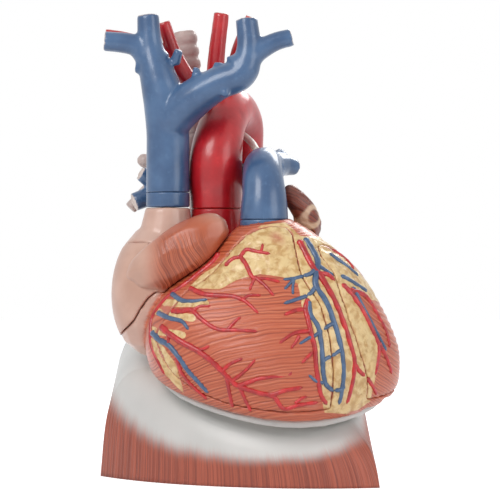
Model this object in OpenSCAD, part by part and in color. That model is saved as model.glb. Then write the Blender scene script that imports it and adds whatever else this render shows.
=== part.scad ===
/* [Diaphragm base] */
// Reach of the base to the left of the origin
base_left = 115; // [105:1:125]
// Reach of the base to the right of the origin
base_right = 122; // [112:1:128]
// Reach of the base behind the origin
base_back = 109; // [100:1:120]
// Distance of the left front corner in front of the origin
left_corner = 4; // [0:1:20]
// Distance of the right front corner in front of the origin
right_corner = 95; // [85:1:104]
// Radius of the bowed front edge
front_arc_r = 225; // [180:5:400]
// Share by which the side walls lean in at the top
base_lean = 0.06; // [0:0.01:0.1]
// Wall of the hollow base
base_wall = 5; // [3:0.5:7]
// Thickness of the plate that closes the base underneath
plate_t = 4; // [3:0.5:6]
// Diameter of the two posts inside the base
post_d = 18; // [14:1:24]
// Diameter of the pins that the heart stands on
pin_d = 10; // [6:0.5:12]
// Distance between the two posts
post_pitch = 66; // [54:1:76]
// How far the pins reach into the heart
pin_reach = 11; // [6:0.5:13]
// Diameter of the pin that holds the gullet on the base
gullet_pin_d = 8; // [6:0.5:10]
// Diameter of the heads of the screws in the base plate
screw_head_d = 9; // [6:0.5:12]
// Thread diameter of the screws in the base plate
screw_d = 4; // [3:0.5:5]

/* [Heart] */
// Mean radius of the ventricles
heart_r = 92; // [86:1:96]
// Height of the middle of the ventricles above the table
heart_z = 106; // [104:0.5:112]
// Depth of the flat underside below the middle of the ventricles
seat_depth = 21; // [19:0.5:23]
// Tilt of the underside down to the front
seat_pitch = 21; // [18:0.5:24]
// Tilt of the underside down to the right
seat_roll = 5.5; // [3:0.5:8]
// Thickness of the removable wall of the right ventricle
rv_wall_t = 8; // [6:0.5:9]
// Thickness of the removable wall of the left ventricle
lv_wall_t = 13; // [11:0.5:15]
// Thickness of the removable walls of the atria
atrium_wall_t = 6; // [5:0.5:7]
// Width of the rebate on which each removable wall rests
rebate_w = 8; // [6:0.5:10]
// Thickness of the rebate under each removable wall
rebate_t = 6; // [5:0.5:7]
// Gap at the seams around each removable wall
seam_gap = 0.5; // [0.3:0.1:0.8]
// Thickness of the septum between the ventricles
septum_t = 14; // [10:1:16]
// Thickness of the floor under the chambers of the ventricles
floor_t = 10; // [8:0.5:12]
// Thickness of the plate that holds the valves
valve_plate_t = 9; // [7:0.5:11]

/* [Pericardium] */
// Thickness of the pericardial dish
dish_t = 4; // [3:0.5:5]
// Radius of the rolled lip round the dish
lip_r = 4.5; // [3:0.5:5.5]
// Clearance between parts that rest on each other
seat_gap = 0.3; // [0.2:0.05:0.4]

/* [Great vessels] */
// Outer diameter of the superior vena cava
cava_d = 37.5; // [34:0.5:40]
// Outer diameter of the aortic root
aorta_d = 45; // [41:0.5:47]
// Outer diameter of the pulmonary root
pulmonary_d = 41; // [37:0.5:43]
// Wall of the vessels at their joints
vessel_wall = 4; // [3:0.5:5]
// Length of the spigots that locate the vessels
spigot_l = 12; // [8:0.5:14]
// Clearance round spigots and pins
fit_gap = 0.25; // [0.15:0.05:0.35]
// Outer diameter of the windpipe
trachea_d = 22.4; // [20:0.2:25]
// Spacing of the rings of the windpipe
trachea_pitch = 11.5; // [10:0.5:13]
// Diameter of the gullet
oesophagus_d = 19; // [16:0.5:21]

/* [Coronary vessels] */
// Radius of the main coronary arteries
artery_r = 2.6; // [2:0.1:3]
// Radius of the main cardiac veins
vein_r = 2.5; // [2:0.1:3]

/* [Locating pins of the walls] */
// Diameter of the small pins behind the removable walls
peg_d = 4; // [3:0.5:5]
// Length of the small pins beyond the wall that carries them
peg_l = 6; // [4:0.5:7]
// Wall of the bushes that take the small pins
bush_wall = 2; // [1.5:0.5:2.5]

/* [Hidden] */

BLUE = [0.27, 0.41, 0.57];
RED = [0.84, 0.14, 0.16];
MUSCLE = [0.78, 0.42, 0.30];
FAT = [0.90, 0.78, 0.55];
ATRIUM = [0.80, 0.65, 0.57];
AURICLE = [0.74, 0.38, 0.24];
WHITE = [0.80, 0.79, 0.76];
SKIRT = [0.72, 0.35, 0.25];
LINING = [0.85, 0.62, 0.55];
CARTILAGE = [0.75, 0.67, 0.65];
STEEL = [0.75, 0.76, 0.78];
EPS = 0.01;

// Vectors and smooth curves
function unit(v) = v / norm(v);
function dir(lon, lat) = [cos(lat) * sin(lon), -cos(lat) * cos(lon), sin(lat)];
function mix(a, b, f) = a * (1 - f) + b * f;
function total(v) = v * [for (x = v) 1];
function slerp(a, b, f) =
  let (w = acos(min(1, max(-1, a * b))))
  w < 0.01 ? b : (sin((1 - f) * w) * a + sin(f * w) * b) / sin(w);
function spline(p0, p1, p2, p3, f) =
  0.5 * (2 * p1 + (p2 - p0) * f + (2 * p0 - 5 * p1 + 4 * p2 - p3) * f * f
  + (3 * p1 - p0 - 3 * p2 + p3) * f * f * f);
// Smooth curve through the points p of an open line, in k steps each
function smooth_line(p, k) = [
  for (i = [0 : len(p) - 2], j = [0 : k - 1])
    spline(p[max(i - 1, 0)], p[i], p[i + 1], p[min(i + 2, len(p) - 1)], j / k),
  p[len(p) - 1]
];
// Smooth closed curve through the points p, in k steps each
function smooth_loop(p, k) =
  let (n = len(p))
  [for (i = [0 : n - 1], j = [0 : k - 1])
    spline(p[(i + n - 1) % n], p[i], p[(i + 1) % n], p[(i + 2) % n], j / k)];
function reversed(p) = [for (i = [len(p) - 1 : -1 : 0]) p[i]];

// The ventricles: a globe with swellings, met by the flat underside
HEART_C = [35, -25, heart_z];
SEAT_TURN = [seat_pitch, seat_roll, 0];
SEAT_N = [sin(seat_roll) * cos(seat_pitch), -sin(seat_pitch), cos(seat_roll) * cos(seat_pitch)];
// Swellings of the globe: longitude, latitude, height, spread in degrees
VENTRICLE_LOBES = [
  [-18, 76, 29, 24], [-66, 14, 24, 36], [82, -8, 20, 30],
  [60, 50, 15, 34], [20, -24, 12, 38], [180, 40, -14, 50], [142, -10, -30, 40]
];
LOBE_DIRS = [for (l = VENTRICLE_LOBES) dir(l[0], l[1])];
LOBE_HEIGHTS = [for (l = VENTRICLE_LOBES) l[2]];
LOBE_RATES = [for (l = VENTRICLE_LOBES) 1 / (1 - cos(l[3]))];
SEAT_BLEND = 6;
function globe_r(d) =
  heart_r + LOBE_HEIGHTS * [for (i = [0 : len(LOBE_DIRS) - 1]) exp(LOBE_RATES[i] * (d * LOBE_DIRS[i] - 1))];
// Distance from c to the flat underside along d
function seat_reach(c, d, depth) =
  depth / max(-(d * SEAT_N), 0.001);
function seat_min(a, b) = pow(pow(a, -SEAT_BLEND) + pow(b, -SEAT_BLEND), -1 / SEAT_BLEND);
function ventricle_r(d) = seat_min(globe_r(d), seat_reach(HEART_C, d, seat_depth));

// Ellipsoid about its own centre, reaching a, b, c along its axes turned by [x, y, z] degrees
function turn_x(v, a) = [v.x, v.y * cos(a) - v.z * sin(a), v.y * sin(a) + v.z * cos(a)];
function turn_y(v, a) = [v.x * cos(a) + v.z * sin(a), v.y, v.z * cos(a) - v.x * sin(a)];
function turn_z(v, a) = [v.x * cos(a) - v.y * sin(a), v.x * sin(a) + v.y * cos(a), v.z];
function ellipsoid_r(d, axes, tilt) =
  let (u = turn_x(turn_y(turn_z(d, -tilt.z), -tilt.y), -tilt.x))
  1 / norm([u.x / axes.x, u.y / axes.y, u.z / axes.z]);

// The right atrium stands on the same flat underside
RA_C = [-65, -8, heart_z + 52];
RA_AXES = [40, 46, 62];
RA_DEPTH = seat_depth + (RA_C - HEART_C) * SEAT_N;
function right_atrium_r(d) =
  seat_min(ellipsoid_r(d, RA_AXES, [0, 0, 0]), seat_reach(RA_C, d, RA_DEPTH));
LA_C = [20, 36, heart_z + 88];
LA_AXES = [44, 38, 40];
function left_atrium_r(d) = ellipsoid_r(d, LA_AXES, [0, 0, 0]);

// Latitudes for k even steps from pole to pole
function even_rows(k) = [for (i = [1 : k - 1]) 90 - 180 * i / k];
// Latitudes that lie closer together where the ventricles meet their underside
SEAT_ROWS = [80, 69, 58, 47, 36, 26, 16, 7, -1, -8, -13, -18, -23, -28, -34, -44, -62];

// Closed solid from two poles and the rings of points between them
module ringed_solid(pole_a, rings, pole_b) {
  n = len(rings[0]);
  m = len(rings);
  points = [pole_a, for (ring = rings) each ring, pole_b];
  last = 1 + m * n;
  faces = [
    for (i = [0 : n - 1]) [0, 1 + (i + 1) % n, 1 + i],
    for (k = [0 : m - 2], i = [0 : n - 1])
      let (a = 1 + k * n + i, b = 1 + k * n + (i + 1) % n)
      each [[a, b, b + n], [a, b + n, a + n]],
    for (i = [0 : n - 1]) [1 + (m - 1) * n + i, 1 + (m - 1) * n + (i + 1) % n, last]
  ];
  polyhedron(points, faces, convexity = 6);
}

// A loop of directions that runs anticlockwise, seen from outside along the hub
function winding(loop, hub) =
  let (n = len(loop))
  total([for (i = [0 : n - 1]) cross(loop[i], loop[(i + 1) % n]) * hub]);
function wound(loop, hub) = winding(loop, hub) > 0 ? loop : reversed(loop);
// The same loop, drawn in towards the hub by the angle a
function drawn_in(loop, hub, a) = [
  for (d = loop) unit(d * cos(a) + unit(hub - (hub * d) * d) * sin(a))
];

// Skin of a rounded body about c. reach(d) is its outer surface. The profile's points give
// the share of the way from the hub to the loop, and the height over the surface.
module skin(c, reach, hub, loop, profile) {
  edge = wound(loop, hub);
  rings = [
    for (p = profile) [
      for (e = edge)
        let (d = slerp(hub, e, p[0]))
        c + d * (reach(d) + p[1])
    ]
  ];
  first = profile[0];
  last = profile[len(profile) - 1];
  ringed_solid(c + hub * (reach(hub) + first[1]), rings, c + hub * (reach(hub) + last[1]));
}
// Profile of a wall of thickness t with an eased outer edge, in k rings
WALL_EASE = 0.6;
function wall_profile(t, k) = [
  for (i = [1 : k - 1]) [i / k, 0],
  [0.985, -0.1], [1, -WALL_EASE], [1, -t],
  for (i = [k - 1 : -1 : 1]) [i / k, -t]
];
// Profile of a cutter between two heights over the surface
function cutter_profile(low, high, k) = [
  for (i = [1 : k]) [i / k, high],
  for (i = [k : -1 : 1]) [i / k, low]
];

// Whole rounded body about c, with a ring of points on each of the latitudes
module globe(c, reach, latitudes, columns) {
  rings = [
    for (lat = latitudes) [
      for (j = [0 : columns - 1])
        let (d = dir(360 * j / columns, lat))
        c + d * reach(d)
    ]
  ];
  ringed_solid(c + [0, 0, reach([0, 0, 1])], rings, c - [0, 0, reach([0, 0, -1])]);
}

// Points traced on the front view, a grid of 500 units seen from VIEW_EYE, laid on the ventricles
VIEW_EYE = [15, -1811, 196];
VIEW_LENS = 2083;
function view_ray(p) = [(p[0] - 250) / VIEW_LENS, 1, (250 - p[1]) / VIEW_LENS];
function ray_at(ray, y) = VIEW_EYE + ray * (y - VIEW_EYE.y);
function inside_ventricles(q) =
  let (v = q - HEART_C)
  norm(v) < ventricle_r(unit(v));
function front_depth(ray, near, far, steps) =
  steps == 0 ? mix(near, far, 0.5)
  : let (mid = mix(near, far, 0.5))
    inside_ventricles(ray_at(ray, mid)) ? front_depth(ray, near, mid, steps - 1)
    : front_depth(ray, mid, far, steps - 1);
function on_wall(p) =
  let (ray = view_ray(p))
  unit(ray_at(ray, front_depth(ray, HEART_C.y - 130, HEART_C.y, 16)) - HEART_C);
function traced(points) = [for (p = points) on_wall(p)];

// Seams of the ventricle walls, traced on the front view
RV_SEAM = traced([
  [286, 226], [292, 232], [296, 250], [301, 273], [309, 287], [320, 302], [330, 335], [334, 370],
  [331, 409], [300, 413], [262, 411], [226, 404], [196, 392], [172, 374], [160, 353], [155, 337],
  [160, 324], [170, 311], [186, 291], [207, 277], [221, 262], [231, 250], [243, 237], [262, 227]
]);
RV_HUB = dir(-12, 5);
// The left ventricle's wall runs round to the back, where its seam follows set directions
LV_SEAM = concat(
  traced([[318, 244], [321, 254], [328, 264], [334, 272], [340, 290], [349, 318], [360, 350],
          [368, 378], [367, 400]]),
  [dir(60, -18), dir(76, -15), dir(94, -10), dir(112, -3), dir(124, 4), dir(130, 18),
   dir(128, 32), dir(118, 44), dir(102, 51), dir(84, 54)]
);
LV_HUB = dir(84, 18);
SEAM_STEPS = 1;
RV_LOOP = smooth_loop(RV_SEAM, SEAM_STEPS);
LV_LOOP = smooth_loop(LV_SEAM, SEAM_STEPS);
// Seam of the right atrium's wall about the middle of the atrium
RA_SEAM = [
  dir(-90, -50), dir(-60, -44), dir(-38, -36), dir(-26, -28), dir(-17, -16), dir(-8, -4),
  dir(8, 8), dir(24, 20), dir(34, 34), dir(20, 48), dir(-16, 56), dir(-60, 58), dir(-100, 52),
  dir(-128, 34), dir(-138, 4), dir(-130, -26), dir(-112, -44)
];
RA_HUB = dir(-58, 6);
RA_LOOP = smooth_loop(RA_SEAM, SEAM_STEPS);
// Seam of the left atrium's wall about the middle of the atrium
LA_SEAM = [
  dir(34, 6), dir(46, -18), dir(72, -34), dir(106, -40), dir(140, -34), dir(162, -12),
  dir(168, 14), dir(150, 38), dir(112, 50), dir(70, 48), dir(40, 30)
];
LA_HUB = dir(100, 4);
LA_LOOP = smooth_loop(LA_SEAM, SEAM_STEPS);
RV_GAP_A = seam_gap / heart_r * 57.3;
RA_GAP_A = seam_gap / RA_AXES.x * 57.3;
LA_GAP_A = seam_gap / LA_AXES.x * 57.3;
RV_REBATE_A = rebate_w / heart_r * 57.3;
RA_REBATE_A = rebate_w / RA_AXES.x * 57.3;
LA_REBATE_A = rebate_w / LA_AXES.x * 57.3;

// Plane of the valves, through the groove between atria and ventricles
VALVE_N = unit([-0.69, 0.14, 0.71]);
VALVE_OFFSET = 64;
VALVE_C = HEART_C + VALVE_N * VALVE_OFFSET;
module on_valve_plane() {
  lean = acos(VALVE_N.z);
  turn = atan2(VALVE_N.y, VALVE_N.x);
  translate(VALVE_C) rotate([0, 0, turn]) rotate([0, lean, 0]) rotate([0, 0, -turn]) children();
}
// Middles and bores of the two valves between atria and ventricles, on the valve plane
TRICUSPID_AT = [-30, -12];
MITRAL_AT = [40, 32];
TRICUSPID_BORE = 46;
MITRAL_BORE = 40;
VALVE_RIM = 4;

// The left ventricle's chamber, wrapped by the right one across the septum
LV_CORE_C = [84, -12, heart_z - 4];
LV_CORE_AXES = [48, 84, 78];
LV_CORE_TILT = [0, 0, -12];
function left_core_r(d) = ellipsoid_r(d, LV_CORE_AXES, LV_CORE_TILT);
function right_chamber_r(d) = ventricle_r(d) - rv_wall_t - rebate_t;
function left_chamber_r(d) = ventricle_r(d) - lv_wall_t - rebate_t;
function left_lining_r(d) = left_core_r(d) - septum_t;
function right_atrium_lining_r(d) = right_atrium_r(d) - atrium_wall_t - rebate_t;
function left_atrium_lining_r(d) = left_atrium_r(d) - atrium_wall_t - rebate_t;

// Places of the great vessels' joints, seen from above, and heights of their seams
CAVA_AT = [-56, -10];
AORTA_AT = [-14.5, 4];
PULMONARY_AT = [27, -46];
CAVA_SEAM = heart_z + 140;
AORTA_SEAM = heart_z + 126;
PULMONARY_SEAM = heart_z + 116;
CAVA_RING_L = 13;
AORTA_RING_L = 34;
PULMONARY_RING_L = 26;

// Papillary muscles: foot on the wall, tip towards the valve, radius at the foot
RV_PAPILLARY = [
  [[8, -84, 72], [-10, -58, 108], 8], [[-38, -40, 88], [-34, -34, 116], 7], [[22, -62, 82], [6, -50, 116], 6]
];
LV_PAPILLARY = [[[112, -56, 78], [84, -34, 116], 10], [[92, 34, 84], [76, 12, 120], 10]];
PAPILLARY_TIP = 0.55;
PAPILLARY_FACES = 6;
module papillary(foot, tip, r) {
  hull() {
    translate(foot) sphere(r, $fn = PAPILLARY_FACES);
    translate(tip) sphere(r * PAPILLARY_TIP, $fn = PAPILLARY_FACES);
  }
}
// Fleshy ridges inside the tip of the left ventricle: ends and radius
TRABECULAE = [
  [[104, -66, 96], [112, -40, 84], 4], [[112, -20, 92], [108, 12, 84], 4], [[6, -80, 90], [62, -76, 98], 5]
];
module ridge(a, b, r) {
  hull() {
    translate(a) sphere(r, $fn = PAPILLARY_FACES);
    translate(b) sphere(r, $fn = PAPILLARY_FACES);
  }
}

CUT_OVER = 12;
FAR = 150;
// Everything on the ventricles' side of the valve plate, above the floor of the chambers
module ventricle_room() {
  intersection() {
    on_valve_plane() translate([-FAR, -FAR, -2 * FAR - valve_plate_t / 2]) cube(2 * FAR);
    translate(HEART_C) rotate(SEAT_TURN) translate([-FAR, -FAR, floor_t - seat_depth]) cube(2 * FAR);
  }
}
module chambers() {
  // right ventricle, outside the left one's core
  difference() {
    intersection() {
      globe(HEART_C, function (d) right_chamber_r(d), even_rows(9), 16);
      ventricle_room();
    }
    globe(LV_CORE_C, function (d) left_core_r(d), even_rows(8), 14);
    for (m = RV_PAPILLARY) papillary(m[0], m[1], m[2]);
    ridge(TRABECULAE[2][0], TRABECULAE[2][1], TRABECULAE[2][2]);
  }
  // left ventricle, inside its core
  difference() {
    intersection() {
      globe(HEART_C, function (d) left_chamber_r(d), even_rows(9), 16);
      globe(LV_CORE_C, function (d) left_lining_r(d), even_rows(8), 14);
      ventricle_room();
    }
    for (m = LV_PAPILLARY) papillary(m[0], m[1], m[2]);
    for (i = [0, 1]) ridge(TRABECULAE[i][0], TRABECULAE[i][1], TRABECULAE[i][2]);
  }
}

// Cutters that open the windows behind the removable walls, with their rebates
module ventricle_window(hub, loop, wall_t) {
  skin(HEART_C, function (d) ventricle_r(d), hub, loop, cutter_profile(-wall_t - seat_gap, CUT_OVER, 4));
}
MOUTH_OVER = 3;
module ventricle_mouth(hub, loop, wall_t, chamber_depth) {
  skin(HEART_C, function (d) ventricle_r(d), hub, drawn_in(loop, hub, RV_REBATE_A),
    cutter_profile(-chamber_depth, MOUTH_OVER - wall_t, 4));
}

// Outline of the base: a bowed front edge between its corners, straight sides and back
LEFT_CORNER = [-base_left, -left_corner];
RIGHT_CORNER = [base_right, -right_corner];
FRONT_CHORD = RIGHT_CORNER - LEFT_CORNER;
FRONT_MID = (LEFT_CORNER + RIGHT_CORNER) / 2;
FRONT_RISE = sqrt(front_arc_r * front_arc_r - FRONT_CHORD * FRONT_CHORD / 4);
FRONT_CENTRE = FRONT_MID + FRONT_RISE * [-FRONT_CHORD.y, FRONT_CHORD.x] / norm(FRONT_CHORD);
function front_angle(p) = atan2(p.y - FRONT_CENTRE.y, p.x - FRONT_CENTRE.x);
FRONT_FROM = front_angle(LEFT_CORNER) + (front_angle(LEFT_CORNER) > 0 ? -360 : 0);
FRONT_TO = front_angle(RIGHT_CORNER);
FRONT_STEPS = 12;
SIDE_STEPS = 4;
BACK_LEFT = [-base_left, base_back];
BACK_RIGHT = [base_right, base_back];
FOOTPRINT = concat(
  [for (i = [0 : FRONT_STEPS])
    let (a = mix(FRONT_FROM, FRONT_TO, i / FRONT_STEPS))
    FRONT_CENTRE + front_arc_r * [cos(a), sin(a)]],
  [for (i = [1 : SIDE_STEPS]) mix(RIGHT_CORNER, BACK_RIGHT, i / SIDE_STEPS)],
  [for (i = [1 : SIDE_STEPS]) mix(BACK_RIGHT, BACK_LEFT, i / SIDE_STEPS)],
  [for (i = [1 : SIDE_STEPS - 1]) mix(BACK_LEFT, LEFT_CORNER, i / SIDE_STEPS)]
);
DOME_C = [20, 0];
// Height of the flat on top of the base at a place seen from above
DISH_FLOOR = seat_depth + dish_t + 2 * seat_gap;
function seat_z(p, depth) =
  HEART_C.z - (depth + (p.x - HEART_C.x) * SEAT_N.x + (p.y - HEART_C.y) * SEAT_N.y) / SEAT_N.z;
DOME_SQUARE = 0.26;
DOME_RISE = 0.55;
function dome_point(p, a, inset) =
  let (h = pow(sin(a), DOME_RISE))
  let (s = pow(cos(a), DOME_SQUARE) * (1 - base_lean * h))
  let (q = DOME_C + (p - DOME_C) * (s - inset / norm(p - DOME_C)))
  [q.x, q.y, h * (seat_z(q, DISH_FLOOR) - inset)];
DOME_STEPS = [80, 64, 50, 37, 25, 14, 6, 2, 0];
HOLLOW_STEPS = [0, 4, 18, 40, 66];
DOME_TOP = [DOME_C.x, DOME_C.y, seat_z(DOME_C, DISH_FLOOR)];
POST_AT = [for (s = [-1, 1]) [35, -18] + s * post_pitch / 2 * [1, 0]];

// The dome as a solid block, raised a little
module dome_form(raise) {
  up = [0, 0, raise];
  ringed_solid(
    DOME_TOP + up,
    [for (a = DOME_STEPS) [for (p = FOOTPRINT) dome_point(p, a, 0) + up]],
    [DOME_C.x, DOME_C.y, raise]
  );
}
module diaphragm_base() {
  color(SKIRT) difference() {
    ringed_solid(
      DOME_TOP,
      [
        for (a = DOME_STEPS) [for (p = FOOTPRINT) dome_point(p, a, 0)],
        for (a = HOLLOW_STEPS) [for (p = FOOTPRINT) dome_point(p, a, base_wall)]
      ],
      DOME_TOP - [0, 0, base_wall]
    );
    translate([OESOPHAGUS_AT.x, OESOPHAGUS_AT.y, 90])
      cylinder(d = gullet_pin_d + 2 * fit_gap, h = 60, $fn = 48);
    for (q = POST_AT)
      translate([q.x, q.y, 60]) cylinder(d = pin_d + 2 * fit_gap, h = 120, $fn = 48);
  }
}

// Plate inside the foot of the base
PLATE_INSET = base_wall + 0.6;
module base_plate() {
  color(WHITE) difference() {
    linear_extrude(plate_t)
      polygon([for (p = FOOTPRINT)
        DOME_C + (p - DOME_C) * (1 - PLATE_INSET / norm(p - DOME_C) - base_lean / 4)]);
    for (q = POST_AT) translate([q.x, q.y, -1]) {
      cylinder(d = screw_d + 2 * fit_gap, h = plate_t + 2, $fn = 32);
      cylinder(d = screw_head_d + 2 * fit_gap, h = 1 + SCREW_SINK, $fn = 32);
    }
  }
}

SCREW_SINK = 2;
SCREW_GRIP = 10;
module base_plate_screws() {
  color(STEEL)
  for (q = POST_AT) translate([q.x, q.y, 0.2]) {
    cylinder(d = screw_head_d, h = SCREW_SINK - 0.2, $fn = 32);
    cylinder(d = screw_d, h = plate_t + SCREW_GRIP, $fn = 32);
  }
}

// A post's shoulder lies under the dome, its pin goes on through the dish into the heart
POST_SLACK = 3;
module support_posts() {
  color(STEEL)
  for (q = POST_AT) {
    lean = post_d / 2 * norm([SEAT_N.x, SEAT_N.y]);
    shoulder = seat_z(q, DISH_FLOOR) - base_wall / SEAT_N.z - lean - POST_SLACK;
    pin_top = seat_z(q, seat_depth) + pin_reach;
    translate([q.x, q.y, 0]) difference() {
      union() {
        translate([0, 0, plate_t]) cylinder(d = post_d, h = shoulder - plate_t, $fn = 48);
        translate([0, 0, plate_t]) cylinder(d = pin_d, h = pin_top - plate_t, $fn = 48);
      }
      cylinder(d = screw_d + 2 * fit_gap, h = plate_t + SCREW_GRIP + 1, $fn = 32);
    }
  }
}

// Loop where the lip lies: the line in which the ventricles meet their underside
LIP_RISE = 2;
LIP_STEPS = 30;
SEAT_X = unit(cross([0, 1, 0], SEAT_N));
SEAT_Y = cross(SEAT_N, SEAT_X);
function lip_dir(turn, low, high, steps) =
  let (mid = (low + high) / 2)
  let (d = cos(mid) * (cos(turn) * SEAT_X + sin(turn) * SEAT_Y) + sin(mid) * SEAT_N)
  steps == 0 ? d
  : (d * SEAT_N) * ventricle_r(d) > LIP_RISE - seat_depth ? lip_dir(turn, low, mid, steps - 1)
  : lip_dir(turn, mid, high, steps - 1);
LIP_LOOP = [for (i = [0 : LIP_STEPS - 1]) lip_dir(360 * i / LIP_STEPS, -60, 10, 14)];
LIP_PATH = [for (d = LIP_LOOP) HEART_C + d * (ventricle_r(d) + lip_r * 0.8)];
module pericardial_dish() {
  color(WHITE) difference() {
    union() {
      skin(HEART_C, function (d) ventricle_r(d), -SEAT_N, LIP_LOOP, [
        for (f = [0.5, 0.85, 0.97, 1]) [f, seat_gap + dish_t],
        for (f = [1, 0.9, 0.5]) [f, -dish_t]
      ]);
      for (i = [0 : LIP_STEPS - 1]) hull() {
        translate(LIP_PATH[i]) sphere(lip_r, $fn = 8);
        translate(LIP_PATH[(i + 1) % LIP_STEPS]) sphere(lip_r, $fn = 8);
      }
    }
    heart_bulk(seat_gap);
    translate([CAVA_BELOW.x, CAVA_BELOW.y, 60]) cylinder(d = CAVA_BELOW_D + 2 * seat_gap, h = 120, $fn = 32);
    for (q = POST_AT)
      translate([q.x, q.y, 40]) cylinder(d = pin_d + 2 * fit_gap, h = 120, $fn = 32);
  }
}

// Bushes in the heart and pins in the walls, along the way each wall pulls off: place, direction
RV_PULL = unit([0.08, -1, 0.02]);
LV_PULL = unit([1, -0.05, 0.1]);
RA_PULL = unit([-0.8, -0.6, 0.08]);
LA_PULL = unit([1, 0.1, 0]);
function surface_point(c, r, d, depth) = c + d * (r - depth);
function ventricle_point(d, depth) = surface_point(HEART_C, ventricle_r(d), d, depth);
RV_PEGS = [ventricle_point(on_wall([262, 234]), rv_wall_t), ventricle_point(on_wall([290, 405]), rv_wall_t)];
LV_PEGS = [ventricle_point(dir(82, 49), lv_wall_t), ventricle_point(dir(84, -6), lv_wall_t)];
RA_PEGS = [for (d = [dir(-62, 52), dir(-64, -38)])
  surface_point(RA_C, right_atrium_r(d), d, atrium_wall_t)];
LA_PEGS = [for (d = [dir(100, 43), dir(100, -34)])
  surface_point(LA_C, left_atrium_r(d), d, atrium_wall_t)];
PEG_SINK = 3;
module along(p, d) {
  translate(p) rotate([0, 0, atan2(d.y, d.x)]) rotate([0, acos(d.z), 0]) children();
}
BUSH_D = peg_d + 2 * fit_gap + 2 * bush_wall;
BUSH_FACES = 14;
module bush_seat(p, pull) {
  along(p, -pull) translate([0, 0, -8]) cylinder(d = BUSH_D + 0.4, h = peg_l + 10, $fn = BUSH_FACES);
}
module bush(p, pull) {
  along(p, -pull) translate([0, 0, seat_gap]) difference() {
    cylinder(d = BUSH_D, h = peg_l + 1.5, $fn = 48);
    translate([0, 0, -1]) cylinder(d = peg_d + 2 * fit_gap, h = peg_l + 1.5, $fn = 48);
  }
}
module pegs(places, pull) {
  color(STEEL) for (p = places)
    along(p, -pull) translate([0, 0, -PEG_SINK]) cylinder(d = peg_d, h = PEG_SINK + peg_l - 0.5, $fn = 48);
}
module peg_holes(places, pull) {
  for (p = places)
    along(p, -pull) translate([0, 0, -PEG_SINK - 0.2]) cylinder(d = peg_d + 0.2, h = 20, $fn = 48);
}

// Ventricles and right atrium, swollen by over
RA_ROWS = 10;
RA_COLUMNS = 16;
module heart_bulk(over) {
  globe(HEART_C, function (d) ventricle_r(d) + over, SEAT_ROWS, 28);
  globe(RA_C, function (d) right_atrium_r(d) + over, even_rows(RA_ROWS), RA_COLUMNS);
}
// Closed outer forms of the whole heart
module heart_form() {
  heart_bulk(0);
  globe(LA_C, function (d) left_atrium_r(d), even_rows(8), 16);
  // neck of the right atrium under the superior vena cava
  hull() {
    translate([CAVA_AT.x, CAVA_AT.y, CAVA_SEAM - CAVA_RING_L - 3]) cylinder(d = cava_d + 1, h = 3, $fn = 18);
    translate([CAVA_AT.x - 2, CAVA_AT.y + 2, CAVA_SEAM - 48]) cylinder(d = cava_d + 14, h = 2, $fn = 18);
  }
  // shoulder of the left ventricle round the aortic root
  hull() {
    translate([AORTA_AT.x, AORTA_AT.y, AORTA_SEAM - 26]) cylinder(d = aorta_d + 3, h = 3, $fn = 18);
    translate([AORTA_AT.x + 8, AORTA_AT.y, AORTA_SEAM - 60]) cylinder(d = aorta_d + 30, h = 2, $fn = 18);
  }
  // cone of the right ventricle under the pulmonary root
  hull() {
    translate([PULMONARY_AT.x, PULMONARY_AT.y, PULMONARY_SEAM - 7])
      cylinder(d = pulmonary_d + 2, h = 3, $fn = 18);
    translate([PULMONARY_AT.x + 2, PULMONARY_AT.y + 6, PULMONARY_SEAM - 34])
      cylinder(d = pulmonary_d + 34, h = 2, $fn = 18);
  }
}

// Outflow tracts, from the chambers up to the roots of the great vessels
module outflow_tracts() {
  hull() {
    translate([14, -56, heart_z + 40]) sphere(22, $fn = 16);
    translate([PULMONARY_AT.x, PULMONARY_AT.y, PULMONARY_SEAM - PULMONARY_RING_L - 2])
      cylinder(d = pulmonary_d - 2 * vessel_wall - 4, h = 2, $fn = 16);
  }
  hull() {
    translate([48, -8, heart_z + 34]) sphere(15, $fn = 16);
    translate([AORTA_AT.x, AORTA_AT.y, AORTA_SEAM - AORTA_RING_L - 2])
      cylinder(d = aorta_d - 2 * vessel_wall - 6, h = 2, $fn = 16);
  }
}
// Way from the left atrium's valve into the left ventricle
module mitral_tract() {
  hull() {
    on_valve_plane() translate([MITRAL_AT.x, MITRAL_AT.y, -VALVE_RIM])
      cylinder(d = MITRAL_BORE + 2 * VALVE_RIM, h = 2, $fn = 18);
    translate(MITRAL_TRACT_FOOT) sphere(MITRAL_TRACT_R, $fn = 16);
  }
}
MITRAL_TRACT_FOOT = [74, -8, 128];
MITRAL_TRACT_R = 24;
// Round seats for the roots and rings of the vessels
module root_seat(at, top, ring_l, d) {
  translate([at.x, at.y, top - ring_l - seat_gap]) cylinder(d = d + 2 * seat_gap, h = ring_l + 40, $fn = 24);
}
module atrium_chambers() {
  difference() {
    globe(RA_C, function (d) right_atrium_lining_r(d), even_rows(7), 12);
    on_valve_plane() translate([-FAR, -FAR, valve_plate_t / 2 - 2 * FAR]) cube(2 * FAR);
  }
  difference() {
    globe(LA_C, function (d) left_atrium_lining_r(d), even_rows(7), 12);
    on_valve_plane() translate([-FAR, -FAR, valve_plate_t / 2 - 2 * FAR]) cube(2 * FAR);
  }
}
module right_atrium_window() {
  skin(RA_C, function (d) right_atrium_r(d), RA_HUB, RA_LOOP,
    cutter_profile(-atrium_wall_t - seat_gap, CUT_OVER, 3));
}
module left_atrium_window() {
  skin(LA_C, function (d) left_atrium_r(d), LA_HUB, LA_LOOP,
    cutter_profile(-atrium_wall_t - seat_gap, CUT_OVER, 3));
}
CAVA_BELOW = [-40, 40];
CAVA_BELOW_D = 34;
CAVA_BELOW_TOP = 132;
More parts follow.
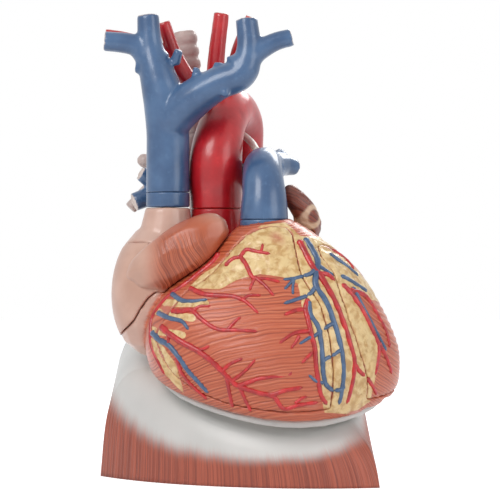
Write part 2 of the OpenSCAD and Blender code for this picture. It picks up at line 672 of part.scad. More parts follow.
module heart_body() {
  color(MUSCLE) difference() {
    heart_form();
    chambers();
    atrium_chambers();
    outflow_tracts();
    mitral_tract();
    ventricle_window(RV_HUB, RV_LOOP, rv_wall_t);
    ventricle_window(LV_HUB, LV_LOOP, lv_wall_t);
    right_atrium_window();
    left_atrium_window();
    intersection() {
      union() {
        ventricle_mouth(RV_HUB, RV_LOOP, rv_wall_t, rv_wall_t + rebate_t + 7);
        ventricle_mouth(LV_HUB, LV_LOOP, lv_wall_t, lv_wall_t + rebate_t + 18);
      }
      ventricle_room();
    }
    skin(RA_C, function (d) right_atrium_r(d), RA_HUB, drawn_in(RA_LOOP, RA_HUB, RA_REBATE_A),
      cutter_profile(-atrium_wall_t - rebate_t - 6, MOUTH_OVER - atrium_wall_t, 3));
    skin(LA_C, function (d) left_atrium_r(d), LA_HUB, drawn_in(LA_LOOP, LA_HUB, LA_REBATE_A),
      cutter_profile(-atrium_wall_t - rebate_t - 6, MOUTH_OVER - atrium_wall_t, 3));
    for (p = RV_PEGS) bush_seat(p, RV_PULL);
    for (p = LV_PEGS) bush_seat(p, LV_PULL);
    for (p = RA_PEGS) bush_seat(p, RA_PULL);
    for (p = LA_PEGS) bush_seat(p, LA_PULL);
    root_seat(CAVA_AT, CAVA_SEAM, CAVA_RING_L, cava_d);
    root_seat(AORTA_AT, AORTA_SEAM, AORTA_RING_L, aorta_d);
    root_seat(PULMONARY_AT, PULMONARY_SEAM, PULMONARY_RING_L, pulmonary_d);
    // way from the vena cava into the right atrium
    translate([CAVA_AT.x, CAVA_AT.y, CAVA_SEAM - 80])
      cylinder(d = cava_d - 2 * vessel_wall, h = 80, $fn = 16);
    on_valve_plane() {
      translate([TRICUSPID_AT.x, TRICUSPID_AT.y, -20])
        cylinder(d = TRICUSPID_BORE + 2 * VALVE_RIM + 2 * seat_gap, h = 40, $fn = 18);
      translate([MITRAL_AT.x, MITRAL_AT.y, -20])
        cylinder(d = MITRAL_BORE + 2 * VALVE_RIM + 2 * seat_gap, h = 40, $fn = 18);
    }
    for (q = POST_AT)
      translate([q.x, q.y, 30])
        cylinder(d = HEART_BUSH_D + 0.4, h = seat_z(q, seat_depth) + pin_reach - 27, $fn = 18);
    translate([CAVA_BELOW.x, CAVA_BELOW.y, 60])
      cylinder(d = CAVA_BELOW_D + 1, h = CAVA_BELOW_TOP - 60, $fn = 24);
  }
}
HEART_BUSH_D = pin_d + 2 * fit_gap + 4;

module dowel_bushes() {
  color(STEEL) {
    difference() {
      for (p = RV_PEGS) bush(p, RV_PULL);
      ventricle_window(RV_HUB, RV_LOOP, rv_wall_t);
    }
    difference() {
      for (p = LV_PEGS) bush(p, LV_PULL);
      ventricle_window(LV_HUB, LV_LOOP, lv_wall_t);
    }
    difference() {
      for (p = RA_PEGS) bush(p, RA_PULL);
      right_atrium_window();
    }
    difference() {
      for (p = LA_PEGS) bush(p, LA_PULL);
      left_atrium_window();
    }
    for (q = POST_AT)
      translate([q.x, q.y, seat_z(q, seat_depth) + pin_reach - HEART_BUSH_L]) difference() {
        cylinder(d = HEART_BUSH_D, h = HEART_BUSH_L + 2.5, $fn = 48);
        translate([0, 0, -1]) cylinder(d = pin_d + 2 * fit_gap, h = HEART_BUSH_L + 2, $fn = 48);
      }
  }
}
HEART_BUSH_L = 6;

// Rings and roots that stay on the heart and take the vessels' spigots
module root_tube(at, top, ring_l, d) {
  translate([at.x, at.y, top - ring_l]) difference() {
    cylinder(d = d, h = ring_l - seat_gap, $fn = 64);
    translate([0, 0, -1]) cylinder(d = d - 2 * vessel_wall, h = ring_l + 2, $fn = 64);
  }
}
module vena_cava_ring() {
  color(BLUE) root_tube(CAVA_AT, CAVA_SEAM, CAVA_RING_L, cava_d);
}
module aortic_root() {
  color(RED) root_tube(AORTA_AT, AORTA_SEAM, AORTA_RING_L, aorta_d);
}
module pulmonary_root() {
  color(BLUE) root_tube(PULMONARY_AT, PULMONARY_SEAM, PULMONARY_RING_L, pulmonary_d);
}
// A spigot hangs under its vessel and slides into the root
SPIGOT_WALL = 3;
module spigot(at, seam, d) {
  outer = d - 2 * vessel_wall - 2 * fit_gap;
  translate([at.x, at.y, seam - spigot_l]) difference() {
    cylinder(d = outer, h = spigot_l, $fn = 64);
    translate([0, 0, -1]) cylinder(d = outer - 2 * SPIGOT_WALL, h = spigot_l - 1, $fn = 64);
  }
}
module vena_cava_spigot() {
  color(BLUE) spigot(CAVA_AT, CAVA_SEAM, cava_d);
}
module aortic_spigot() {
  color(RED) spigot(AORTA_AT, AORTA_SEAM, aorta_d);
}
module pulmonary_spigot() {
  color(BLUE) spigot(PULMONARY_AT, PULMONARY_SEAM, pulmonary_d);
}

// Valve between atrium and ventricle: a rim on the valve plane and leaflets that hang below it
LEAFLET_T = 1.4;
module leaf_valve(at, bore, leaflets, drop) {
  on_valve_plane() translate([at.x, at.y, 0]) {
    rotate_extrude($fn = 64)
      translate([bore / 2, -VALVE_RIM / 2]) square([VALVE_RIM, VALVE_RIM]);
    for (i = [0 : leaflets - 1])
      rotate([0, 0, 360 * i / leaflets + 5]) rotate_extrude(angle = 360 / leaflets - 10, $fn = 64)
        polygon([[bore / 2 + 1, 1], [bore / 2 + 1, -1.5], [bore / 2 - 2, -drop * 0.3],
                 [bore * 0.26, -drop], [bore * 0.26 - LEAFLET_T, -drop],
                 [bore / 2 - 2 - LEAFLET_T, -drop * 0.3], [bore / 2 - LEAFLET_T - 0.5, 0],
                 [bore / 2 - 1, 1]]);
  }
}
TRICUSPID_DROP = 22;
MITRAL_DROP = 22;
module tricuspid_valve() {
  color(LINING) leaf_valve(TRICUSPID_AT, TRICUSPID_BORE, 3, TRICUSPID_DROP);
}
module mitral_valve() {
  color(LINING) leaf_valve(MITRAL_AT, MITRAL_BORE, 2, MITRAL_DROP);
}

// Three pocket-shaped cusps inside a root
CUSP_T = 1.2;
module pocket_valve(at, floor_z, bore) {
  r = bore / 2 - fit_gap;
  cusp_r = r * 0.5;
  translate([at.x, at.y, floor_z]) {
    difference() {
      cylinder(r = r, h = 0.3 * r, $fn = 64);
      translate([0, 0, -1]) cylinder(r = 0.86 * r, h = 0.3 * r + 2, $fn = 64);
    }
    for (i = [0 : 2]) rotate([0, 0, 120 * i + 30]) translate([r * 0.48, 0, cusp_r]) difference() {
      sphere(cusp_r, $fn = 32);
      sphere(cusp_r - CUSP_T, $fn = 32);
      translate([-r, -r, cusp_r * 0.25]) cube([2 * r, 2 * r, r]);
    }
  }
}
module aortic_valve() {
  color(LINING) pocket_valve(AORTA_AT, AORTA_SEAM - AORTA_RING_L + 1, aorta_d - 2 * vessel_wall);
}
module pulmonary_valve() {
  color(LINING)
    pocket_valve(PULMONARY_AT, PULMONARY_SEAM - PULMONARY_RING_L + 1, pulmonary_d - 2 * vessel_wall);
}

// Tendinous cords from the leaflets' edges to the tips of the papillary muscles
CHORD_R = 0.9;
CHORD_FAN = 22;
CHORD_FOOT = 3;
module chord(a, b) {
  v = b - a;
  translate(a) rotate([0, 0, atan2(v.y, v.x)]) rotate([0, acos(v.z / norm(v)), 0])
    cylinder(r = CHORD_R, h = norm(v), $fn = 16);
}
function on_plane(v) =
  let (lean = acos(VALVE_N.z), turn = atan2(VALVE_N.y, VALVE_N.x))
  VALVE_C + turn_z(turn_y(turn_z(v, -turn), lean), turn);
function leaf_edge(at, bore, drop, a) =
  on_plane([at.x + bore * 0.25 * cos(a), at.y + bore * 0.25 * sin(a), -drop]);
module chordae(at, bore, drop, muscles, spread) {
  for (i = [0 : len(muscles) - 1], s = [-1, 0, 1]) {
    a = spread[i] + CHORD_FAN * s;
    chord(leaf_edge(at, bore, drop, a), muscles[i][1] + CHORD_FOOT * s * [-sin(a), cos(a), 0]);
  }
}
module tricuspid_chordae() {
  color(CARTILAGE) chordae(TRICUSPID_AT, TRICUSPID_BORE, TRICUSPID_DROP, RV_PAPILLARY, [-60, 185, 60]);
}
module mitral_chordae() {
  color(CARTILAGE) chordae(MITRAL_AT, MITRAL_BORE, MITRAL_DROP, LV_PAPILLARY, [-85, 95]);
}

// Removable walls
module right_ventricle_wall() {
  color(FAT) difference() {
    skin(HEART_C, function (d) ventricle_r(d), RV_HUB,
         drawn_in(RV_LOOP, RV_HUB, RV_GAP_A), wall_profile(rv_wall_t, 4));
    peg_holes(RV_PEGS, RV_PULL);
  }
}
module left_ventricle_wall() {
  color(FAT) difference() {
    skin(HEART_C, function (d) ventricle_r(d), LV_HUB,
         drawn_in(LV_LOOP, LV_HUB, RV_GAP_A), wall_profile(lv_wall_t, 4));
    peg_holes(LV_PEGS, LV_PULL);
  }
}
AURICLE_LOBES = 9;
// An auricle: a fan of fleshy lobes between two ends, thickest in the middle
module auricle(from, to, bulge, r_from, r_mid, r_to) {
  for (i = [0 : AURICLE_LOBES - 2])
    hull() for (k = [i, i + 1]) {
      f = k / (AURICLE_LOBES - 1);
      q = mix(mix(from, bulge, f), mix(bulge, to, f), f);
      r = mix(mix(r_from, r_mid, f), mix(r_mid, r_to, f), f);
      translate(q) scale([1, 0.8, 1]) sphere(r, $fn = 9);
    }
}
module clear_of_ventricles() {
  globe(HEART_C, function (d) ventricle_r(d) + 1, SEAT_ROWS, 36);
}
module right_atrium_wall() {
  color(ATRIUM) {
    difference() {
      union() {
        skin(RA_C, function (d) right_atrium_r(d), RA_HUB,
             drawn_in(RA_LOOP, RA_HUB, RA_GAP_A), wall_profile(atrium_wall_t, 3));
        difference() {
          auricle([-74, -40, 174], [-18, -56, 212], [-44, -62, 190], 18, 32, 16);
          globe(RA_C, function (d) right_atrium_r(d) - 4, even_rows(9), 18);
          // beyond its own wall the auricle only lies on the atrium
          difference() {
            globe(RA_C, function (d) right_atrium_r(d) + seat_gap, even_rows(RA_ROWS), RA_COLUMNS);
            skin(RA_C, function (d) right_atrium_r(d), RA_HUB, drawn_in(RA_LOOP, RA_HUB, 2 * RA_GAP_A),
              cutter_profile(-20, 20, 3));
          }
        }
      }
      clear_of_ventricles();
      peg_holes(RA_PEGS, RA_PULL);
    }
  }
}
module left_atrium_wall() {
  color(AURICLE) difference() {
    union() {
      skin(LA_C, function (d) left_atrium_r(d), LA_HUB,
           drawn_in(LA_LOOP, LA_HUB, LA_GAP_A), wall_profile(atrium_wall_t, 3));
      difference() {
        auricle([56, 8, 206], [50, -22, 244], [76, -22, 216], 13, 14, 9);
        globe(LA_C, function (d) left_atrium_r(d) - 2, even_rows(9), 18);
      }
    }
    clear_of_ventricles();
    peg_holes(LA_PEGS, LA_PULL);
  }
}
module right_ventricle_pins() { pegs(RV_PEGS, RV_PULL); }
module left_ventricle_pins() { pegs(LV_PEGS, LV_PULL); }
module right_atrium_pins() { pegs(RA_PEGS, RA_PULL); }
module left_atrium_pins() { pegs(LA_PEGS, LA_PULL); }

// Great vessels: smooth tubes through points, each a place and a radius. Each ring lies
// square to the tube's way, and side is a direction that the way never runs along.
function ring_on(q, way, side, faces) =
  let (v = unit(way), u = unit(cross(side, v)), w = cross(u, v))
  [for (j = [0 : faces - 1])
    let (t = 360 * j / faces)
    [q.x, q.y, q.z] + q[3] * (cos(t) * u + sin(t) * w)];
function way_at(path, i) =
  let (a = path[max(i - 1, 0)], b = path[min(i + 1, len(path) - 1)])
  [b.x - a.x, b.y - a.y, b.z - a.z];
ALONG_X = [1, 0, 0];
ALONG_Y = [0, 1, 0];
ALONG_Z = [0, 0, 1];
module vessel(points, steps, faces, side = ALONG_Y) {
  path = smooth_line(points, steps);
  last = path[len(path) - 1];
  ringed_solid(
    [path[0].x, path[0].y, path[0].z],
    [for (i = [0 : len(path) - 1]) ring_on(path[i], way_at(path, i), side, faces)],
    [last.x, last.y, last.z]
  );
}
// Flared root where a branch leaves its vessel
module flare(a, b) {
  hull() {
    translate([a.x, a.y, a.z]) sphere(a[3], $fn = 8);
    translate([b.x, b.y, b.z]) sphere(b[3], $fn = 8);
  }
}

CAVA_TRUNK = [
  [-56, -10, 238, 18.75], [-56, -10, 254, 18.7], [-56, -10, 274, 18.6], [-56, -11, 298, 18.6],
  [-58, -13, 322, 18.8], [-65, -14, 348, 15.5], [-71, -14, 372, 11], [-73, -14, 399, 9.5]
];
LEFT_BRACHIOCEPHALIC = [
  [-56, -14, 300, 15], [-38, -24, 322, 17], [-14, -34, 337, 14.5], [8, -38, 347, 13.5],
  [14, -38, 368, 10.5], [12, -36, 393, 9.3]
];
RIGHT_SUBCLAVIAN = [[-62, -14, 356, 12], [-82, -14, 372, 9.5], [-111, -16, 376, 8.4]];
LEFT_SUBCLAVIAN = [[4, -38, 350, 12], [20, -38, 364, 9.5], [36, -38, 373, 8], [51, -38, 377, 7.6]];
// Short stubs of small veins: foot, tip, radius
CAVA_STUBS = [
  [[-70, -14, 352], [-84, -14, 353], 6], [[-50, -16, 356], [-46, -20, 368], 5],
  [[-32, -28, 336], [-31, -32, 352], 4], [[-13, -34, 345], [-12, -36, 356], 5],
  [[0, -38, 350], [-2, -40, 361], 4], [[-6, -40, 334], [-6, -48, 327], 4]
];
// Everything below a vessel's seam, which cuts its foot square
module below(seam) {
  translate([-FAR, -FAR, seam - 2 * FAR]) cube(2 * FAR);
}
module superior_vena_cava() {
  color(BLUE) difference() {
    union() {
    vessel(CAVA_TRUNK, 2, 16);
    vessel(LEFT_BRACHIOCEPHALIC, 2, 12);
    vessel(RIGHT_SUBCLAVIAN, 2, 10);
    vessel(LEFT_SUBCLAVIAN, 2, 10);
    flare([-56, -12, 306, 17.5], [-36, -25, 324, 15.5]);
    flare([-64, -14, 352, 13], [-82, -14, 371, 8.6]);
    flare([8, -38, 352, 12], [21, -38, 364, 8.6]);
    for (s = CAVA_STUBS) hull() {
      translate(s[0]) sphere(s[2], $fn = 6);
      translate(s[1]) sphere(s[2] * 0.8, $fn = 6);
    }
    }
    below(CAVA_SEAM);
  }
}

AORTA_PATH = [
  [-14.5, 4, 222, 22.5], [-14.5, 4, 242, 22.8], [-15, 3, 260, 23.5], [-14, 4, 282, 22.5], [-9, 16, 306, 20.5],
  [0, 40, 321, 19], [9, 66, 310, 17.5], [10.5, 77, 286, 16.5], [10.5, 78, 248, 16]
];
BRACHIOCEPHALIC_TRUNK = [
  [-12, 22, 312, 11], [-26, 20, 332, 9.5], [-40, 18, 346, 8.2], [-52, 16, 370, 6.4], [-61, 15, 396, 6]
];
RIGHT_SUBCLAVIAN_ARTERY = [[-42, 18, 350, 7], [-62, 16, 368, 6], [-88, 12, 380, 5.4], [-112, 8, 384, 5.2]];
LEFT_CAROTID = [[-8, 34, 318, 10], [-15, 30, 340, 8], [-15, 26, 362, 7.6], [-10, 24, 405, 6.8]];
LEFT_SUBCLAVIAN_ARTERY = [[2, 50, 318, 9], [1, 46, 345, 7], [4, 42, 372, 6.2], [17, 40, 403, 5.8]];
module aorta() {
  color(RED) difference() {
    union() {
    vessel(AORTA_PATH, 2, 18, ALONG_X);
    vessel(BRACHIOCEPHALIC_TRUNK, 2, 9);
    vessel(RIGHT_SUBCLAVIAN_ARTERY, 2, 8);
    vessel(LEFT_CAROTID, 2, 9);
    vessel(LEFT_SUBCLAVIAN_ARTERY, 2, 8);
    for (branch = [BRACHIOCEPHALIC_TRUNK, LEFT_CAROTID, LEFT_SUBCLAVIAN_ARTERY]) {
      flare(mix(branch[0], AORTA_PATH[5], 0.2), mix(branch[0], branch[1], 0.5));
      flare(mix(branch[0], branch[1], 0.4), mix(branch[0], branch[1], 0.8));
    }
    flare(BRACHIOCEPHALIC_TRUNK[2], RIGHT_SUBCLAVIAN_ARTERY[1]);
    flare(BRACHIOCEPHALIC_TRUNK[2], BRACHIOCEPHALIC_TRUNK[3]);
    }
    below(AORTA_SEAM);
  }
}
// Cord between the arch of the aorta and the pulmonary trunk
LIGAMENT = [[6, 40, 301, 3], [16, 26, 291, 3.4], [21, 8, 283, 3]];
module arterial_ligament() {
  color(WHITE) vessel(LIGAMENT, 3, 10, ALONG_X);
}

PULMONARY_PATH = [
  [27, -46, 212, 20.5], [27, -46, 228, 20.2], [27, -45, 242, 18.8], [26, -38, 258, 17.4],
  [27, -20, 268, 16.5], [34, 2, 266, 13]
];
LEFT_PULMONARY = [[30, -12, 268, 13], [42, 4, 270, 10], [56, 12, 268, 6.8]];
LEFT_PULMONARY_UPPER = [[34, 0, 270, 9], [43, 14, 280, 6]];
RIGHT_PULMONARY = [
  [28, 2, 266, 13], [20, 30, 262, 12.5], [-6, 46, 260, 12], [-44, 44, 258, 11],
  [-66, 36, 256, 9], [-82, 30, 264, 6.5]
];
RIGHT_PULMONARY_LOWER = [[-56, 40, 256, 9], [-74, 34, 244, 8.6], [-88, 30, 238, 8.2]];
module pulmonary_trunk() {
  color(BLUE) difference() {
    union() {
    vessel(PULMONARY_PATH, 2, 16, ALONG_X);
    vessel(LEFT_PULMONARY, 2, 10, ALONG_Z);
    vessel(LEFT_PULMONARY_UPPER, 1, 8);
    vessel(RIGHT_PULMONARY, 2, 12, ALONG_Z);
    vessel(RIGHT_PULMONARY_LOWER, 1, 10);
    for (line = [RIGHT_PULMONARY, LEFT_PULMONARY, RIGHT_PULMONARY_LOWER]) {
      flare(line[0], mix(line[0], line[1], 0.5));
      flare(mix(line[0], line[1], 0.5), line[1]);
    }
    flare(PULMONARY_PATH[4], PULMONARY_PATH[5]);
    flare(PULMONARY_PATH[5], LEFT_PULMONARY_UPPER[0]);
    }
    below(PULMONARY_SEAM);
  }
}

// Windpipe of stacked cartilage rings on a smooth lining, leaning slightly
TRACHEA_FOOT = [-32, 51, 300];
TRACHEA_LEAN = -7.5;
TRACHEA_RINGS = 8;
TRACHEA_L = TRACHEA_RINGS * trachea_pitch;
RING_SHARE = 0.74;
module on_trachea() {
  translate(TRACHEA_FOOT) rotate([0, TRACHEA_LEAN, 0]) children();
}
module trachea() {
  color(CARTILAGE) on_trachea() difference() {
    union() {
      cylinder(d = trachea_d - 3, h = TRACHEA_L, $fn = 48);
      for (i = [0 : TRACHEA_RINGS - 1]) translate([0, 0, i * trachea_pitch]) rotate_extrude($fn = 48) {
        polygon([[trachea_d / 2 - 3, 0.2], [trachea_d / 2 - 0.8, 0.8], [trachea_d / 2, 2.5],
                 [trachea_d / 2, RING_SHARE * trachea_pitch - 2],
                  [trachea_d / 2 - 0.8, RING_SHARE * trachea_pitch],
                 [trachea_d / 2 - 3, RING_SHARE * trachea_pitch + 0.6]]);
      }
    }
    translate([0, 0, TRACHEA_L - 14]) cylinder(d = trachea_d - 8, h = 20, $fn = 48);
  }
}
LEFT_BRONCHUS = [[-32, 51, 298, 10], [-18, 54, 288, 8], [-4, 55, 282, 7]];
RIGHT_BRONCHUS = [[-32, 51, 298, 10.5], [-46, 54, 283, 9], [-64, 54, 272, 7.5], [-80, 52, 276, 6.5]];
RIGHT_BRONCHUS_LOWER = [[-56, 53.4, 278, 8], [-74, 52.8, 252, 6.5], [-92, 49, 233, 6]];
module bronchi() {
  color(CARTILAGE) {
    vessel(LEFT_BRONCHUS, 1, 10);
    vessel(RIGHT_BRONCHUS, 1, 10);
    vessel(RIGHT_BRONCHUS_LOWER, 1, 8);
    for (line = [LEFT_BRONCHUS, RIGHT_BRONCHUS, RIGHT_BRONCHUS_LOWER]) {
      flare(line[0], mix(line[0], line[1], 0.5));
      flare(mix(line[0], line[1], 0.5), line[1]);
    }
    flare(RIGHT_BRONCHUS[2], RIGHT_BRONCHUS[3]);
    flare(LEFT_BRONCHUS[1], mix(LEFT_BRONCHUS[1], LEFT_BRONCHUS[2], 0.5));
  }
}
OESOPHAGUS_AT = [-30, 80];
OESOPHAGUS_PATH = [[-44, 74, 384], [-40, 75, 330], [-33, 79, 270], [-30, 80, 210], [-30, 80, 100]];
// The gullet runs down to the base, whose curve cuts its foot
module oesophagus() {
  r = oesophagus_d / 2;
  color(LINING) difference() {
    vessel([for (q = OESOPHAGUS_PATH) [q.x, q.y, q.z, r]], 2, 16, ALONG_X);
    dome_form(seat_gap);
    translate([OESOPHAGUS_AT.x, OESOPHAGUS_AT.y, 90])
      cylinder(d = gullet_pin_d + 2 * fit_gap, h = GULLET_PIN_TOP - 90, $fn = 32);
  }
}
GULLET_PIN_TOP = 142;
GULLET_PIN_FOOT = 106;
module oesophagus_pin() {
  color(STEEL) translate([OESOPHAGUS_AT.x, OESOPHAGUS_AT.y, GULLET_PIN_FOOT])
    cylinder(d = gullet_pin_d, h = GULLET_PIN_TOP - GULLET_PIN_FOOT - 0.2, $fn = 48);
}

// Stub of the lower vena cava between the right atrium and the base
module inferior_vena_cava() {
  color(BLUE) difference() {
    translate([CAVA_BELOW.x, CAVA_BELOW.y, 70]) cylinder(d = CAVA_BELOW_D, h = CAVA_BELOW_TOP - 70, $fn = 48);
    translate(HEART_C) rotate(SEAT_TURN)
      translate([-FAR, -FAR, -2 * FAR - seat_depth]) cube(2 * FAR);
    translate([CAVA_BELOW.x, CAVA_BELOW.y, 60])
      cylinder(d = CAVA_BELOW_D - 2 * vessel_wall, h = CAVA_BELOW_TOP - 64, $fn = 48);
  }
}
// Stubs of the pulmonary veins on the back of the left atrium
PULMONARY_VEINS = [
  [[-8, 56, 208], [-28, 60, 212]], [[-8, 56, 184], [-28, 60, 178]],
  [[12, 68, 208], [14, 92, 212]], [[12, 68, 184], [14, 92, 178]]
];
PULMONARY_VEIN_D = 15;
module pulmonary_veins() {
  color(RED) for (s = PULMONARY_VEINS) {
    v = s[1] - s[0];
    translate(s[0]) rotate([0, 0, atan2(v.y, v.x)]) rotate([0, acos(v.z / norm(v)), 0]) difference() {
      cylinder(d = PULMONARY_VEIN_D, h = norm(v), $fn = 32);
      translate([0, 0, norm(v) - 6]) cylinder(d = PULMONARY_VEIN_D - 5, h = 10, $fn = 32);
    }
  }
}

// Coronary vessels, raised on the heart's surface: routes traced on the front view, with the
// radius at the start and at the end
function vessel_run(route, r_from, r_to) =
  let (n = len(route) - 1)
  [for (i = [0 : n])
    let (d = on_wall(route[i]))
    [HEART_C + d * (ventricle_r(d) - VESSEL_SINK), mix(r_from, r_to, i / n)]];
VESSEL_SINK = 0.6;
module bead(r) {
  polyhedron(
    [[r, 0, 0], [0, r, 0], [-r, 0, 0], [0, -r, 0], [0, 0, r], [0, 0, -r]],
    [[4, 1, 0], [4, 2, 1], [4, 3, 2], [4, 0, 3], [5, 0, 1], [5, 1, 2], [5, 2, 3], [5, 3, 0]]
  );
}
module raised(run) {
  for (i = [0 : len(run) - 2]) hull() {
    translate(run[i][0]) bead(run[i][1]);
    translate(run[i + 1][0]) bead(run[i + 1][1]);
  }
}
module routes(list, r) {
  for (v = list) raised(vessel_run(v[0], r * v[1], r * v[2]));
}

// Each route: its points, and the shares of the main radius at its ends
RIGHT_CORONARY = [
  [[[218, 254], [212, 262], [201, 271], [186, 283], [168, 296], [153, 315], [150, 332], [152, 349],
    [163, 372]], 1, 0.5]
];
LEFT_CORONARY = [
  [[[300, 241], [306, 253], [313, 266], [322, 277], [335, 300], [345, 325], [351, 345], [355, 362],
    [353, 382], [348, 401]], 1, 0.6]
];
GREAT_VEIN = [
  [[[306, 239], [313, 250], [318, 262], [316, 284], [327, 302], [337, 330], [342, 350], [344, 370],
    [343, 386], [340, 402]], 1, 0.6]
];
RIGHT_WALL_ARTERIES = [
  [[[226, 264], [240, 256], [246, 249], [269, 253]], 0.65, 0.4],
  [[[240, 256], [251, 275], [265, 279], [278, 281]], 0.55, 0.4],
  [[[195, 291], [217, 295], [232, 296], [242, 300], [256, 312]], 0.7, 0.4],
  [[[174, 312], [191, 310], [201, 319], [217, 329], [256, 331]], 0.7, 0.4],
  [[[161, 328], [181, 342], [196, 350], [212, 362], [230, 380], [240, 387], [268, 395], [300, 388]], 1, 0.5],
  [[[230, 380], [240, 385], [260, 378], [294, 383]], 0.6, 0.4],
  [[[268, 395], [286, 405], [317, 404]], 0.6, 0.4],
  [[[308, 302], [308, 318], [315, 348], [317, 371], [322, 394]], 0.75, 0.6]
];
RIGHT_WALL_VEINS = [
  [[[184, 301], [206, 300]], 0.7, 0.5],
  [[[169, 319], [181, 320], [187, 328]], 0.7, 0.5],
  [[[159, 342], [168, 345], [178, 357], [187, 370], [204, 386]], 1, 0.6],
  [[[315, 303], [321, 325], [324, 345], [325, 362]], 0.8, 0.5],
  [[[306, 297], [286, 302]], 0.6, 0.4],
  [[[322, 333], [303, 342]], 0.6, 0.4]
];
LEFT_WALL_ARTERIES = [
  [[[344, 285], [353, 295], [363, 310], [373, 330], [379, 345], [376, 373]], 0.9, 0.5],
  [[[379, 345], [387, 362]], 0.5, 0.4],
  [[[353, 295], [366, 296], [376, 311], [384, 330]], 0.6, 0.4],
  [[[334, 252], [346, 259], [353, 267]], 0.6, 0.4]
];
LEFT_WALL_VEINS = [
  [[[343, 277], [352, 281], [366, 290]], 0.8, 0.6],
  [[[357, 291], [368, 314], [378, 333], [385, 348]], 0.7, 0.5],
  [[[331, 257], [345, 264], [357, 274]], 0.7, 0.5]
];
module right_coronary_artery() {
  color(RED) routes(RIGHT_CORONARY, artery_r);
}
module left_coronary_artery() {
  color(RED) routes(LEFT_CORONARY, artery_r);
}
module great_cardiac_vein() {
  color(BLUE) routes(GREAT_VEIN, vein_r);
}
module right_ventricle_arteries() {
  color(RED) routes(RIGHT_WALL_ARTERIES, artery_r);
}
module right_ventricle_veins() {
  color(BLUE) routes(RIGHT_WALL_VEINS, vein_r);
}
module left_ventricle_arteries() {
  color(RED) routes(LEFT_WALL_ARTERIES, artery_r);
}
module left_ventricle_veins() {
  color(BLUE) routes(LEFT_WALL_VEINS, vein_r);
}
// The wide vein in the groove at the back, below the left atrium
SINUS_ROUTE = [dir(-138, 26), dir(-152, 24), dir(-168, 23), dir(176, 25), dir(160, 30), dir(148, 37)];
SINUS_SHARES = [2, 2.4, 2.4, 2, 1.6, 1];
module coronary_sinus() {
  color(BLUE)
  raised([for (i = [0 : len(SINUS_ROUTE) - 1])
    let (d = SINUS_ROUTE[i])
    [HEART_C + d * (ventricle_r(d) - VESSEL_SINK), vein_r * SINUS_SHARES[i]]]);
}

diaphragm_base();
base_plate();
base_plate_screws();
support_posts();
pericardial_dish();
heart_body();
dowel_bushes();
vena_cava_ring();
aortic_root();
pulmonary_root();
tricuspid_valve();
mitral_valve();
aortic_valve();
pulmonary_valve();
tricuspid_chordae();
mitral_chordae();
inferior_vena_cava();
pulmonary_veins();
right_coronary_artery();
left_coronary_artery();
great_cardiac_vein();
coronary_sinus();
right_ventricle_wall();
right_ventricle_pins();
right_ventricle_arteries();
right_ventricle_veins();
left_ventricle_wall();
left_ventricle_pins();
left_ventricle_arteries();
left_ventricle_veins();
right_atrium_wall();
right_atrium_pins();
left_atrium_wall();
left_atrium_pins();
superior_vena_cava();
vena_cava_spigot();
aorta();
aortic_spigot();
arterial_ligament();
pulmonary_trunk();
pulmonary_spigot();
trachea();
bronchi();
oesophagus();
oesophagus_pin();
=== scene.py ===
# Looks of the heart model: smooth surfaces, raised fibres and vessels, paint, floor and light.
import bmesh
import bpy
import math
import numpy as np
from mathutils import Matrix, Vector, noise


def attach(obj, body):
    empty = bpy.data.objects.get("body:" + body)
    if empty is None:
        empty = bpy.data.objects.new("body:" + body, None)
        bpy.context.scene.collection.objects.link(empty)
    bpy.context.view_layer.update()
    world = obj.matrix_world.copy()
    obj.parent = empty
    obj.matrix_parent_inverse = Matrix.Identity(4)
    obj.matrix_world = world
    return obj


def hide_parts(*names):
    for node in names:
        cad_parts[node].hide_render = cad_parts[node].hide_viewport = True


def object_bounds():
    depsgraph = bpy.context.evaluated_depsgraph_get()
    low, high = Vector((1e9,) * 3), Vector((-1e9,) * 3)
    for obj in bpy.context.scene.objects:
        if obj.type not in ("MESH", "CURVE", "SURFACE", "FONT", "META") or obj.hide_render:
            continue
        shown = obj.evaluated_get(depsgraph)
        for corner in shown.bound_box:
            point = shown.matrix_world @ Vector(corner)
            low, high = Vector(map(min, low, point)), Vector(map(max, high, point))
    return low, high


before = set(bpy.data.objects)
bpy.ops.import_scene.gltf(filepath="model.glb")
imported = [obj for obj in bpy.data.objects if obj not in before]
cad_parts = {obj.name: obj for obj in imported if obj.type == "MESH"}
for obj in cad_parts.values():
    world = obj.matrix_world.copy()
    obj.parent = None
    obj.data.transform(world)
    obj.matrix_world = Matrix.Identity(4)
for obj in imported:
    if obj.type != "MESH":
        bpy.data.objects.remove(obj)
CAD_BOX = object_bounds()
MM = 0.001
BOX_LOW, BOX_HIGH = (np.array(f(np.array([list(c) for c in CAD_BOX]), axis=0)) / MM for f in (np.min, np.max))


# ---- The forms of the model, in millimetres, as in the part's source ----
def unit(v):
    v = np.asarray(v, float)
    return v / np.linalg.norm(v, axis=-1, keepdims=True)


def direction(lon, lat):
    lon, lat = np.radians(lon), np.radians(lat)
    return np.stack([np.cos(lat) * np.sin(lon), -np.cos(lat) * np.cos(lon), np.sin(lat)], -1)


def cubic(p, steps):
    """A smooth curve through points, with a number of steps between each two."""
    p = np.asarray(p, float)
    n = len(p)
    f = (np.arange(steps) / steps)[:, None]
    out = []
    for i in range(n - 1):
        a, b, c, d = p[max(i - 1, 0)], p[i], p[i + 1], p[min(i + 2, n - 1)]
        out.append(0.5 * (2 * b + (c - a) * f + (2 * a - 5 * b + 4 * c - d) * f ** 2
                          + (3 * b - a - 3 * c + d) * f ** 3))
    out.append(p[-1:])
    return np.vstack(out)


